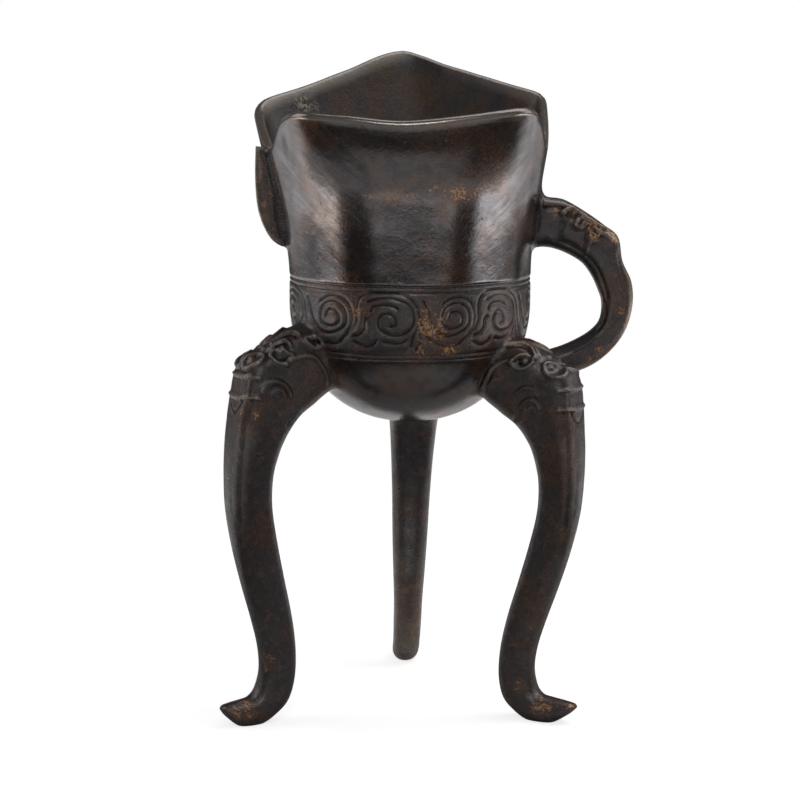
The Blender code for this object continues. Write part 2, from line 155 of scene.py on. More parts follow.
# Stations down a leg: back edge (out, up), belly edge (out, up), half width, squareness
LEG_STATIONS = (
    (30.0, 104.2, 22.4, 89.1, 6.9, 3.0),
    (33.8, 103.4, 25.6, 86.6, 7.1, 3.0),
    (37.9, 102.1, 28.2, 84.9, 7.1, 3.0),
    (41.8, 99.7, 30.4, 83.4, 7.0, 3.0),
    (44.6, 97.3, 32.2, 82.4, 6.9, 3.1),
    (48.3, 95.9, 34.1, 81.2, 6.9, 3.2),
    (50.0, 91.6, 36.0, 79.6, 6.9, 3.3),
    (50.6, 87.0, 37.6, 77.7, 6.8, 3.3),
    (51.3, 81.0, 39.2, 75.2, 6.6, 3.2),
    (51.9, 74.5, 40.7, 71.3, 6.4, 3.1),
    (52.1, 66.5, 41.8, 65.8, 5.9, 3.0),
    (51.6, 57.5, 41.6, 58.0, 5.4, 2.9),
    (49.6, 47.5, 39.6, 48.5, 5.0, 2.8),
    (46.6, 37.0, 36.9, 38.2, 4.7, 2.7),
    (43.5, 27.5, 34.2, 28.5, 4.3, 2.6),
    (41.4, 20.0, 32.5, 19.8, 3.9, 2.6),
    (40.8, 13.8, 32.2, 11.6, 3.8, 2.4),
    (42.0, 9.0, 33.7, 5.6, 3.7, 2.3),
    (43.9, 6.8, 37.0, 2.2, 3.7, 2.2),
    (46.3, 6.2, 41.4, -0.1, 3.6, 2.2),
    (48.9, 5.9, 46.6, -0.1, 3.2, 2.2),
    (51.2, 5.6, 50.2, 2.4, 2.4, 2.2),
    (52.0, 5.1, 51.8, 4.2, 1.2, 2.1),
)

# Handle stations: outer edge (out, up), inner edge (out, up), half width, squareness
HANDLE_SIDES = 40
HANDLE_STEPS = 4
HANDLE_HEAD_STATIONS = (1, 7)
HANDLE_STATIONS = (
    (33.1, 141.2, 31.2, 124.7, 4.3, 3.2),
    (35.5, 138.0, 34.2, 124.5, 4.3, 3.2),
    (41.0, 137.0, 38.0, 124.1, 4.3, 3.2),
    (46.9, 133.7, 42.4, 122.4, 4.4, 3.2),
    (52.0, 130.1, 46.2, 119.9, 4.4, 3.3),
    (55.6, 127.0, 48.8, 116.3, 4.1, 3.4),
    (56.8, 120.7, 50.4, 112.8, 3.9, 3.6),
    (59.3, 115.0, 51.4, 109.8, 3.8, 3.6),
    (59.7, 109.0, 51.4, 106.4, 3.8, 3.6),
    (58.2, 102.8, 50.4, 103.6, 3.8, 3.6),
    (55.0, 97.6, 47.6, 101.0, 3.8, 3.6),
    (50.0, 93.2, 43.4, 98.7, 3.8, 3.6),
    (44.0, 90.6, 39.0, 97.0, 3.8, 3.6),
    (36.0, 89.4, 33.6, 95.8, 3.8, 3.6),
    (30.0, 90.0, 30.4, 96.2, 3.9, 3.4),
    (25.2, 91.4, 27.9, 97.0, 4.1, 3.2),
)
HANDLE_REACH = 59.69             # furthest point of the handle from the bowl's axis
LIP_REACH = 38.1                 # front of the lip from the bowl's axis

# Flange on the left side: outer edge (out, up) from the top down; its root lies in the wall
FLANGE_THICKNESS = 4.4
FLANGE_EDGE = (
    (40.9, 151.2), (41.1, 144.0), (40.8, 137.5), (40.0, 133.0), (38.4, 129.0), (36.4, 126.2),
    (33.4, 124.2),
)
FLANGE_ROOT_HEIGHTS = (125.5, 131.0, 136.0, 141.0, 146.0, 150.2)
FLANGE_ROUNDING = 0.6

# Relief worked into the surface.  A Line is a ridge (height above 0) or a groove (below 0) along a
# smooth curve; a Boss is a round swelling or hollow.  Points are (out, sideways, up) in the plane of
# a leg or the handle, and are worked on both of its cheeks.
Line = namedtuple("Line", "height width points closed", defaults=(False,))
Boss = namedtuple("Boss", "height width place")

TRUNK_LINES = (
    Line(0.35, 0.45, ((47.5, 5.8, 91.7), (49.4, 4.6, 91.9), (50.3, 2.2, 92.0), (50.4, 0.0, 92.0))),
    Line(0.35, 0.45, ((47.9, 6.3, 86.7), (49.9, 4.8, 86.7), (51.0, 2.5, 86.6), (51.2, 0.0, 86.6))),
    Line(-0.13, 0.50, ((50.6, 0.8, 91.0), (50.9, 0.8, 87.6))),
    Line(-0.13, 0.50, ((50.4, 2.5, 91.0), (50.8, 2.5, 87.6))),
    Line(-0.13, 0.50, ((49.8, 4.2, 90.9), (50.2, 4.2, 87.7))),
    Line(-0.10, 0.50, ((48.4, 5.7, 90.7), (48.8, 5.8, 87.7))),
    Line(-0.28, 0.45, ((50.9, 3.6, 85.8), (51.3, 2.0, 83.8), (51.5, 0.0, 82.4))),
    Line(-0.14, 0.60, ((49.2, 5.6, 85.8), (50.2, 4.8, 80.5), (51.0, 4.7, 73.0), (51.3, 4.4, 64.0),
                       (50.6, 3.9, 55.0))),
    Line(-0.10, 0.60, ((51.2, 2.2, 82.0), (51.8, 2.1, 74.5), (52.0, 1.9, 66.0), (51.4, 1.7, 57.0))),
)
LEG_RELIEF = {
    "left": TRUNK_LINES + (
        Line(0.62, 0.62, ((49.6, 0.7, 94.4), (49.0, 0.6, 95.9), (47.6, 1.2, 97.1), (46.3, 2.1, 97.5),
                          (45.6, 3.9, 97.3), (46.8, 4.9, 95.8), (48.6, 4.3, 94.6), (49.5, 2.6, 93.9)),
             True),
        Boss(-0.30, 1.30, (47.7, 2.7, 96.0)),
        Boss(0.40, 0.60, (48.2, 2.3, 96.2)),
        Boss(0.45, 0.75, (44.4, 0.0, 98.9)),
        Boss(0.35, 0.70, (43.9, 2.6, 98.9)),
        Boss(0.55, 1.00, (41.7, 5.3, 98.2)),
        Line(0.50, 0.50, ((43.6, 4.1, 98.7), (44.1, 4.7, 97.5), (43.9, 5.3, 96.4), (43.0, 6.0, 95.5),
                          (41.7, 6.5, 95.1), (40.5, 6.9, 95.1))),
        Line(-0.20, 0.45, ((43.1, 4.9, 97.9), (42.9, 5.6, 96.8), (41.9, 6.3, 96.1), (40.4, 6.7, 96.2))),
        Line(0.40, 0.42, ((40.9, 5.0, 99.3), (40.6, 5.6, 98.4), (39.8, 6.2, 97.7), (38.5, 6.6, 97.2))),
        Line(0.55, 0.50, ((43.2, 3.3, 99.5), (42.3, 3.2, 100.1), (41.0, 3.7, 100.8), (40.0, 4.2, 101.0),
                          (39.3, 4.9, 100.4), (38.9, 5.4, 99.6))),
        Line(-0.22, 0.45, ((42.3, 4.2, 99.6), (41.0, 4.7, 100.0), (40.0, 5.3, 99.6), (39.5, 5.8, 98.9))),
        Line(0.50, 0.50, ((43.0, 1.9, 100.2), (42.0, 1.5, 100.9), (40.6, 1.3, 101.7), (39.2, 1.6, 102.3),
                          (37.8, 2.3, 102.7), (36.7, 3.2, 102.8), (36.1, 4.6, 102.3))),
        Line(-0.30, 0.40, ((41.6, 2.5, 100.9), (39.8, 2.7, 101.8), (38.0, 3.7, 102.1), (37.0, 4.9, 101.4))),
        Line(0.45, 0.50, ((34.9, 5.9, 101.1), (33.6, 6.0, 101.4), (32.3, 6.3, 101.3), (31.0, 6.6, 101.0),
                          (30.3, 7.2, 100.2), (30.5, 7.2, 99.2), (31.4, 6.9, 98.6), (32.8, 6.8, 98.9),
                          (34.2, 6.4, 100.0)), True),
        Boss(-0.38, 0.95, (32.2, 6.7, 100.1)),
        Line(0.40, 0.48, ((40.5, 7.0, 95.1), (39.3, 7.0, 96.0), (37.6, 7.0, 96.5), (35.5, 6.9, 96.8),
                          (33.8, 7.0, 96.7), (32.2, 7.1, 96.0), (30.9, 7.1, 94.6), (29.7, 7.1, 92.9),
                          (28.7, 6.9, 91.0), (28.5, 6.6, 89.4))),
        Line(0.34, 0.45, ((47.2, 6.5, 88.3), (46.9, 6.5, 89.4), (46.1, 6.5, 90.3), (45.0, 6.6, 90.8),
                          (43.7, 6.7, 90.9), (42.3, 6.9, 90.5), (40.9, 6.9, 89.7), (39.9, 6.9, 88.5),
                          (39.1, 6.9, 86.9))),
        Line(0.30, 0.42, ((44.8, 6.8, 87.7), (43.9, 6.9, 88.7), (42.5, 6.9, 88.8), (41.3, 6.9, 88.0),
                          (40.8, 6.9, 86.6))),
        Boss(0.30, 1.10, (43.0, 6.9, 87.1)),
    ),
    "right": TRUNK_LINES + (
        Line(0.50, 0.58, ((42.6, 4.5, 98.5), (43.4, 2.7, 98.8), (44.7, 1.2, 98.2), (46.4, 0.6, 97.2),
                          (47.8, 2.0, 96.4), (48.0, 4.3, 95.5), (46.3, 5.1, 95.1), (44.4, 5.4, 95.7),
                          (43.1, 5.3, 96.9)), True),
        Boss(-0.40, 1.30, (45.7, 3.6, 96.8)),
        Boss(0.55, 0.85, (44.4, 3.6, 97.7)),
        Boss(0.30, 0.70, (42.0, 0.0, 100.2)),
        Line(0.50, 0.50, ((30.9, 5.2, 102.8), (32.1, 4.5, 103.3), (33.4, 3.5, 103.5), (34.8, 2.7, 103.3),
                          (36.3, 2.4, 102.9), (37.8, 2.9, 102.3), (39.2, 4.1, 101.3), (39.9, 5.0, 100.2))),
        Line(0.35, 0.50, ((33.0, 1.4, 103.8), (35.5, 0.7, 103.3), (37.8, 1.1, 102.5), (39.6, 2.3, 101.6),
                          (40.7, 3.6, 100.6))),
        Line(-0.35, 0.42, ((32.4, 5.6, 102.4), (34.4, 4.2, 102.6), (36.3, 3.9, 102.2), (37.9, 4.4, 101.5),
                           (38.9, 5.0, 100.8))),
        Line(0.45, 0.42, ((34.0, 6.8, 98.5), (34.9, 6.4, 99.9), (36.3, 5.8, 100.8), (37.9, 5.4, 100.8),
                          (39.5, 5.4, 99.9))),
        Line(0.45, 0.48, ((34.0, 6.8, 98.3), (35.3, 6.8, 97.4), (37.0, 6.7, 97.1), (38.6, 6.5, 97.6),
                          (39.7, 5.8, 98.8))),
        Boss(-0.30, 1.20, (36.6, 6.4, 99.0)),
        Boss(0.45, 0.60, (37.3, 6.2, 99.2)),
        Line(0.40, 0.48, ((33.8, 6.7, 99.2), (32.0, 6.8, 98.7), (30.3, 7.0, 97.7), (28.8, 7.0, 96.3),
                          (27.6, 7.0, 94.5), (26.7, 6.8, 92.5), (26.2, 6.4, 90.3))),
        Line(0.32, 0.45, ((34.9, 5.6, 82.3), (36.3, 6.4, 84.6), (37.4, 6.7, 86.9), (38.7, 6.9, 88.5),
                          (40.4, 6.9, 89.0), (42.2, 6.9, 88.2), (42.9, 6.9, 86.8))),
        Boss(0.40, 1.20, (40.5, 6.9, 86.9)),
        Line(0.25, 0.45, ((35.9, 7.0, 90.4), (37.4, 6.9, 91.6), (39.0, 6.9, 92.1), (40.9, 6.9, 91.7),
                          (42.2, 6.9, 90.5))),
    ),
}
LEG_RELIEF["rear"] = LEG_RELIEF["right"]
HANDLE_RELIEF = (
    Line(0.35, 0.50, ((35.6, 3.6, 136.6), (38.5, 3.6, 136.7), (41.2, 3.8, 136.2), (43.4, 4.0, 135.5))),
    Line(-0.22, 0.60, ((35.8, 4.2, 135.4), (38.3, 4.2, 135.5), (40.6, 4.2, 135.3))),
    Line(0.72, 0.58, ((40.4, 4.3, 133.8), (41.2, 4.3, 134.6), (42.2, 4.3, 135.1), (43.3, 4.3, 135.2),
                      (44.3, 4.3, 134.7), (45.3, 4.3, 134.0), (46.4, 4.3, 133.6))),
    Boss(0.40, 0.75, (43.3, 4.4, 133.6)),
    Line(-0.35, 0.40, ((41.6, 4.4, 133.4), (42.8, 4.4, 132.6), (44.0, 4.4, 132.9), (44.6, 4.4, 133.6))),
    Line(0.62, 0.52, ((44.4, 4.4, 131.6), (45.1, 4.4, 132.5), (46.0, 4.4, 132.9), (47.0, 4.4, 132.6),
                      (47.4, 4.4, 131.8))),
    Line(0.52, 0.50, ((43.7, 4.4, 130.8), (44.3, 4.4, 129.9), (45.5, 4.4, 130.1), (46.2, 4.4, 131.3))),
    Line(0.62, 0.58, ((47.9, 4.0, 132.2), (48.8, 4.0, 131.5), (49.7, 4.0, 130.8), (50.8, 3.9, 130.3),
                      (52.3, 3.8, 129.6))),
    Line(-0.40, 0.42, ((48.7, 4.3, 130.9), (50.2, 4.3, 129.9), (51.8, 4.2, 128.9))),
    Line(0.60, 0.52, ((49.2, 4.3, 129.9), (49.9, 4.3, 129.0), (51.0, 4.3, 128.8), (52.4, 4.2, 127.9),
                      (53.4, 4.1, 126.8))),
    Line(0.32, 0.42, ((49.8, 4.3, 129.0), (49.5, 4.3, 127.8), (48.9, 4.3, 126.8))),
    Line(0.28, 0.40, ((47.9, 4.3, 125.9), (48.9, 4.3, 126.3), (50.1, 4.3, 126.4))),
    Line(0.34, 0.45, ((47.6, 4.3, 128.9), (47.5, 4.3, 127.2), (47.2, 4.3, 125.6), (47.0, 4.3, 123.9),
                      (46.6, 4.2, 122.2))),
    Line(-0.20, 0.55, ((46.7, 4.3, 127.9), (46.6, 4.3, 126.0), (46.3, 4.3, 124.2))),
    Line(-0.18, 1.10, ((40.0, 4.3, 131.2), (39.4, 4.3, 129.3), (39.0, 4.3, 127.5), (39.4, 4.3, 126.1))),
    Line(-0.34, 0.42, ((40.4, 4.3, 126.2), (43.3, 4.3, 124.9), (46.0, 4.3, 123.0), (48.6, 4.2, 120.5),
                       (50.6, 4.0, 117.7), (51.9, 3.9, 114.4), (52.6, 3.8, 111.0), (52.5, 3.8, 107.9),
                       (51.6, 3.8, 105.2), (49.8, 3.8, 102.3), (47.2, 3.8, 100.1), (44.0, 3.8, 98.3),
                       (40.4, 3.8, 97.0))),
    Line(-0.15, 0.45, ((55.5, 4.0, 122.6), (56.3, 3.9, 118.8), (57.6, 3.8, 114.0), (58.0, 3.8, 108.6),
                       (56.6, 3.8, 103.6), (53.6, 3.8, 99.4))),
)
SWING_STEP = 0.25                # spacing of the points along a worked line
FILLET = 3.0                     # how far from a joint the casting thickens
FILLET_LIFT = 0.7

RELIEF_REACH = 2.6               # how far a worked line is felt, in its own widths
SOFT_REACH = 1.9                 # how far from a crease the metal is smoothed in the first pass
SOFT_NARROWING = 1.2             # and how much less far in the last pass
BURIED = -0.5                    # below this a face looks into the other solid and is left alone

BOWL_CENTRE_Z = 110.0            # centre of the round bottom
INNER_FLOOR_Z = 80.0             # the inner skin lies above this height
INNER_REACH = 50.0               # and within this distance from the axis
BAND_LOW = 97.6                  # the matt scroll band lies between these heights
BAND_HIGH = 117.2
BAND_MARGIN = 1.5                # how far beyond its lines the band's relief is worked
RIM_LOW = 148.0                  # no part of the rim is lower than this
# the rubbed grey rim is also a painted highlight, widest along the front lip
RIM_RUB = 0.2                    # how far below its edge the rim is rubbed bare
LIP_RUB_AND_HIGHLIGHT = 0.4                    # how much further down the lip is rubbed
RIM_FADE = 0.9                   # depth over which the rubbed edge fades
FINE_PASSES = 6                  # blending passes that tell a ridge or a hollow from its surroundings
BROAD_PASSES = 40                # and those that tell a leg's or the handle's arris
# Small rubbed spots on handle, legs and toes as (place from the bowl's axis, radius, strength)
SPOTS = (
    ((56.0, -3.8, 107.2), 1.1, 0.9), ((50.9, -3.6, 96.3), 1.5, 0.8), ((48.2, -3.6, 94.5), 0.9, 0.7),
    ((53.4, -3.2, 127.6), 2.4, 0.9), ((48.6, -3.6, 129.2), 2.4, 0.8), ((44.6, -3.6, 132.6), 2.2, 0.8),
    ((42.4, -4.3, 135.1), 1.2, 1.3), ((44.8, -4.3, 134.4), 1.0, 1.1), ((46.1, -4.3, 132.8), 0.9, 1.4),
    ((48.6, -4.0, 131.6), 0.9, 1.4), ((50.4, -3.9, 130.5), 1.1, 1.5), ((52.3, -3.8, 129.4), 1.0, 1.4),
    ((45.0, -4.3, 130.2), 0.9, 1.0), ((47.6, -4.3, 127.2), 0.8, 0.9), ((38.5, -4.0, 134.0), 1.8, 0.4),
    ((58.6, -3.0, 113.5), 1.6, 0.5), ((56.8, -3.2, 102.0), 1.2, 0.4),
    ((-44.2, -27.5, 84.4), 1.1, 0.8), ((-40.6, -28.9, 83.8), 1.4, 0.6), ((-38.6, -23.4, 16.5), 2.2, 0.8),
    ((-39.0, -24.0, 27.0), 1.1, 0.5), ((-44.6, -26.4, 5.2), 3.2, 0.8), ((-49.0, -25.0, 4.6), 1.6, 0.8),
    ((31.2, -23.4, 26.5), 1.3, 0.7), ((28.2, -22.4, 9.5), 1.8, 0.6), ((34.2, -24.6, 4.8), 2.6, 0.8),
    ((41.8, -27.0, 4.8), 1.8, 0.6), ((30.4, -22.8, 17.0), 1.2, 0.4),
)
# Casting pits above the band: direction, height, spread in degrees and in height
PITTED = (-152.0, 118.8, 16.0, 1.1)
# Crust on the inner wall: place from the bowl's axis and radius
CRUST = ((-28.4, 33.2, 160.4), 3.4)
# Places rubbed through to the metal: direction, height, half width, half height, strength
RUBS = (
    (-72.0, 141.4, 6.0, 2.0, 1.2), (-103.0, 140.5, 5.0, 1.1, 0.8), (-92.0, 139.8, 4.0, 0.9, 0.6),
    (-82.0, 107.0, 3.4, 6.5, 1.0), (-77.0, 101.0, 5.0, 1.6, 0.9), (-88.0, 99.8, 5.0, 1.4, 0.5),
    (-83.0, 95.0, 3.0, 1.4, 0.45), (-118.0, 111.0, 4.0, 3.0, 0.35),
)

# Lights: name, place and aim from the foot of the bowl's axis in metres, size, power in watts
LIGHTS = (
    ("left_softbox", (-0.42, 0.05, 0.30), (-0.15, 0, 0.0), (0.3, 0.4), 0.35),
    ("right_softbox", (0.42, 0.05, 0.30), (0.15, 0, 0.0), (0.3, 0.4), 0.35),
    ("front_softbox", (-0.03, -0.55, 0.48), (0, 0, 0.13), (0.16, 0.26), 0.40),
    ("top_softbox", (0.30, 0.10, 0.90), (0, 0, 0.0), (0.9, 0.7), 2.4),
)

# Colours that don't change with the finish
GRIME = (0.004, 0.004, 0.004, 1.0)
# near-black for the relief's hollows: dirt and painted shade
HOLLOW_GRIME_AND_SHADE = (0.004, 0.0035, 0.003, 1.0)
COOL_GLINT = (1.0, 0.94, 0.96, 1.0)
WARM_GLINT = (1.0, 0.81, 0.74, 1.0)
WHITE = (1.0, 1.0, 1.0, 1.0)


class CupSizes(bpy.types.PropertyGroup):
    """Sizes of the bowl and its wall."""

    bowl_radius: FloatProperty(
        name="Bowl radius", description="Outer radius of the round bowl", default=0.0322,
        min=0.01, unit="LENGTH", subtype="DISTANCE")
    spring_height: FloatProperty(
        name="Spring height", description="Height where the round bottom becomes the wall",
        default=0.110, unit="LENGTH", subtype="DISTANCE")
    flare_height: FloatProperty(
        name="Flare height", description="Height where the wall starts to open to the mouth",
        default=0.117, unit="LENGTH", subtype="DISTANCE")
    wall: FloatProperty(
        name="Wall", description="Thickness of the casting", default=0.0032,
        unit="LENGTH", subtype="DISTANCE")
    rim: FloatProperty(
        name="Rim", description="Thickness of the rounded rim", default=0.0026,
        unit="LENGTH", subtype="DISTANCE")
    fullness: FloatProperty(
        name="Fullness", description="Below 1 the round bottom is fuller than a half ball",
        default=0.91, min=0.5, max=1.5)
    waviness: FloatProperty(
        name="Waviness", description="How far the hand-worked surface strays", default=0.00012,
        unit="LENGTH", subtype="DISTANCE")


class ReliefSizes(bpy.types.PropertyGroup):
    """Depths of the worked relief."""

    scroll_depth: FloatProperty(
        name="Scroll depth", description="Depth of the scroll band's lines", default=0.00036,
        unit="LENGTH", subtype="DISTANCE")
    scroll_width: FloatProperty(
        name="Scroll width", description="Half width of the scroll band's lines", default=0.00042,
        unit="LENGTH", subtype="DISTANCE")
    head_strength: FloatProperty(
        name="Head relief", description="Factor on the relief of the animal heads", default=1.35,
        min=0.0, max=3.0)
    smoothing: IntProperty(
        name="Fillet smoothing", description="Smoothing passes over the joints", default=8,
        min=0, max=30)


class BronzeFinish(bpy.types.PropertyGroup):
    """Colours and gloss of the patinated bronze."""

    patina: FloatVectorProperty(
        name="Patina", description="Main colour of the patina", subtype="COLOR", size=4,
        default=(0.034, 0.024, 0.021, 1.0), min=0, max=1)
    warm_patina: FloatVectorProperty(
        name="Warm patina", description="Browner patches of the patina", subtype="COLOR", size=4,
        default=(0.105, 0.055, 0.035, 1.0), min=0, max=1)
    cold_patina: FloatVectorProperty(
        name="Cold patina", description="Blue-black patches of the patina", subtype="COLOR", size=4,
        default=(0.024, 0.024, 0.029, 1.0), min=0, max=1)
    inner_patina: FloatVectorProperty(
        name="Inner patina", description="Dry brown patina inside the cup", subtype="COLOR", size=4,
        default=(0.090, 0.050, 0.030, 1.0), min=0, max=1)
    bare_metal: FloatVectorProperty(
        name="Bare metal", description="Rubbed bronze showing through", subtype="COLOR", size=4,
        default=(0.72, 0.38, 0.18, 1.0), min=0, max=1)
    green_patina: FloatVectorProperty(
        name="Green patina", description="Grey-green bloom inside the cup", subtype="COLOR", size=4,
        default=(0.036, 0.040, 0.030, 1.0), min=0, max=1)
    chased_patina: FloatVectorProperty(
        name="Chased patina", description="Brown patina of the chased parts", subtype="COLOR", size=4,
        default=(0.230, 0.105, 0.055, 1.0), min=0, max=1)
    # grey of the rubbed rim and chased ridges, which also serves as their painted highlight
    rim_metal_and_highlight: FloatVectorProperty(
        name="Rim metal", description="Rubbed grey edge of the mouth", subtype="COLOR", size=4,
        default=(0.42, 0.38, 0.34, 1.0), min=0, max=1)
    deposit: FloatVectorProperty(
        name="Deposit", description="Pale crust inside the cup", subtype="COLOR", size=4,
        default=(0.60, 0.50, 0.38, 1.0), min=0, max=1)
    gloss: FloatProperty(
        name="Waxed roughness", description="Roughness of the smooth wall where it shines most",
        default=0.10, min=0, max=1)
    chased_dulling: FloatProperty(
        name="Chased dulling", description="Added roughness of legs, handle and band",
        default=0.16, min=0, max=1)


class StageSettings(bpy.types.PropertyGroup):
    """Camera, floor and lights."""

    camera_from_axis: FloatVectorProperty(
        name="Camera place", description="Camera from the foot of the bowl's axis",
        subtype="TRANSLATION", unit="LENGTH", size=3, default=(-0.02125, -0.6653, 0.1884))
    camera_tilt: FloatProperty(
        name="Camera tilt", description="Tilt up from looking straight down",
        subtype="ANGLE", default=math.radians(81.005))
    camera_turn: FloatProperty(
        name="Camera turn", description="Turn about the vertical", subtype="ANGLE",
        default=math.radians(-1.6))
    lens: FloatProperty(name="Lens", description="Focal length in millimetres", default=112.5)
    floor_color: FloatVectorProperty(
        name="Floor", description="Colour of the floor", subtype="COLOR", size=4,
        default=(0.86, 0.86, 0.86, 1.0), min=0, max=1)
    floor_radius: FloatProperty(
        name="Floor radius", description="Radius of the round table top", default=0.335,
        unit="LENGTH", subtype="DISTANCE")
    floor_glow: FloatProperty(
        name="Floor glow", description="Light the floor gives off by itself", default=0.75, min=0)


# ---------------------------------------------------------------- curves and skins


def hermite(start, leaving, end, arriving, u):
    """Value at share u of a smooth step between two values, with its slopes at both ends."""
    return (
        start * (2 * u**3 - 3 * u**2 + 1)
        + leaving * (u**3 - 2 * u**2 + u)
        + end * (3 * u**2 - 2 * u**3)
        + arriving * (u**3 - u**2)
    )


def through(rows, t):
    """Row of numbers at place t (0 to the last index) on a smooth curve through the rows."""
    last = len(rows) - 1
    i = max(0, min(int(t), last - 1))
    u = t - i
    before = rows[max(i - 1, 0)]
    after = rows[min(i + 2, last)]
    return [hermite(b, (c - a) / 2, c, (d - b) / 2, u)
            for a, b, c, d in zip(before, rows[i], rows[i + 1], after)]


def sampled(points, step, closed=False):
    """Points about a step apart along the smooth curve through a few given ones."""
    rows = list(points)
    if closed:
        rows = rows[-1:] + rows + rows[:2]
    first, last = (1, len(rows) - 2) if closed else (0, len(rows) - 1)
    result = []
    for i in range(first, last):
        length = math.dist(rows[i], rows[i + 1])
        pieces = max(2, math.ceil(length / step))
        result += [through(rows, i + k / pieces) for k in range(pieces)]
    result.append(through(rows, last))
    return np.array(result)


@lru_cache(maxsize=None)
def rim_height(direction):
    """Height of the rim in a direction (degrees), smooth all the way round."""
    first = RIM_HEIGHTS[0][0]
    direction = first + (direction - first) % 360
    ring = [(a - 360, z) for a, z in RIM_HEIGHTS[-2:]] + list(RIM_HEIGHTS)
    ring += [(a + 360, z) for a, z in RIM_HEIGHTS[:2]]
    for i in range(1, len(ring) - 2):
        if ring[i][0] <= direction <= ring[i + 1][0]:
            (a0, z0), (a1, z1), (a2, z2), (a3, z3) = ring[i - 1:i + 3]
            span = a2 - a1
            u = (direction - a1) / span
            slope_in = (z2 - z0) / (a2 - a0) * span
            slope_out = (z3 - z1) / (a3 - a1) * span
            return hermite(z1, slope_in, z2, slope_out, u)
    raise ValueError("direction outside the ring of rim heights")


def mouth_corner(side, following):
    """Middle of the corner arc that runs smoothly from one bulging side into the next."""
    (a, near, near_radius, corner), (b, far, far_radius, _) = side, following
    first = polar(near - near_radius, a, 0)
    second = polar(far - far_radius, b, 0)
    gap = second - first
    reach, other = near_radius - corner, far_radius - corner
    along = (gap.length_squared + reach**2 - other**2) / (2 * gap.length)
    across = Vector((gap.y, -gap.x, 0)).normalized() * math.sqrt(reach**2 - along**2)
    middles = [first + gap.normalized() * along + across * sign for sign in (1, -1)]
    between = polar(1, (a + b + (360 if b < a else 0)) / 2, 0)
    return max(middles, key=lambda middle: middle.dot(between))


@lru_cache(maxsize=None)
def mouth_arcs():
    """Arcs that make up the mouth's plan: middle, radius and the directions they face between."""
    count = len(MOUTH_SIDES)
    corners = [mouth_corner(MOUTH_SIDES[i], MOUTH_SIDES[(i + 1) % count]) for i in range(count)]
    arcs = []
    for i, (direction, distance, radius, corner) in enumerate(MOUTH_SIDES):
        middle = polar(distance - radius, direction, 0)
        after_direction, after_distance, after_radius, _ = MOUTH_SIDES[(i + 1) % count]
        after = polar(after_distance - after_radius, after_direction, 0)
        start = facing(corners[i - 1] - middle)
        turn = facing(corners[i] - middle)
        arcs.append((middle, radius, start, turn))
        arcs.append((corners[i], corner, turn, facing(corners[i] - after)))
    return arcs


def facing(step):
    """Direction of a step in degrees."""
    return math.degrees(math.atan2(step.y, step.x))


def turn_from(start, direction):
    """Turn from one direction to another in degrees, the shorter way round."""
    return (direction - start + 180) % 360 - 180


def section_reach(bowl, direction, drawn):
    """Distance from the axis to the wall's outside, drawn this far from the bowl to the mouth.

    Every arc of the section is part way between the bowl's circle and an arc of the mouth, so
    the sides flatten and the corners tighten evenly on the way up.
    """
    ray = polar(1, direction, 0)
    best = None
    for middle, radius, start, end in mouth_arcs():
        centre = middle * drawn
        size = (1 - drawn) * bowl + drawn * radius
        nearest = centre.dot(ray)
        reach = nearest + math.sqrt(max(0.0, nearest**2 - centre.length_squared + size**2))
        span = (end - start) % 360 / 2
        half = (start + end) / 2 if end > start else (start + end) / 2 + 180
        past = abs(turn_from(half, facing(ray * reach - centre))) - span
        if best is None or past < best[0]:
            best = (past, reach)
    return best[1]


def flare(s, direction):
    """Share of the way out to the mouth at share s of the way up the flaring wall."""
    away = abs(direction + 90)
    middle = through(FRONT_FLARE, s * (len(FRONT_FLARE) - 1))[0]
    side = 0.6 * s**2 + 0.4 * eased(s)
    corner = 0.15 * s + 0.85 * s**3.3
    near, far = MIDDLE_SPAN
    front = corner + (middle - corner) * eased((far - away) / (far - near))
    near, far = CORNER_SPAN
    return side + (front - side) * eased((far - away) / (far - near))


def eased(share):
    """Share from 0 to 1 that starts and ends gently."""
    share = min(1.0, max(0.0, share))
    return share**2 * (3 - 2 * share)


def polar(radius, direction, z):
    """Point at a direction in degrees round the axis."""
    angle = math.radians(direction)
    return Vector((radius * math.cos(angle), radius * math.sin(angle), z))


def outer_wall(sizes, direction, z):
    """Outer surface of the upright wall at a height."""
    top = rim_height(direction)
    flare_z = sizes.flare_height / MM
    drawn = flare(max(0.0, (z - flare_z) / (top - flare_z)), direction)
    reach = section_reach(sizes.bowl_radius / MM, direction, drawn)
    return polar(reach, direction, z) + Vector((MOUTH_SHIFT * drawn, 0, 0))


def wall_directions(sizes, direction, z):
    """Outward and upward directions of the wall at a point."""
    here = outer_wall(sizes, direction, z)
    round_about = outer_wall(sizes, direction + 0.5, z) - outer_wall(sizes, direction - 0.5, z)
    up = (here - outer_wall(sizes, direction, z - 0.5)).normalized()
    return round_about.cross(up).normalized(), up


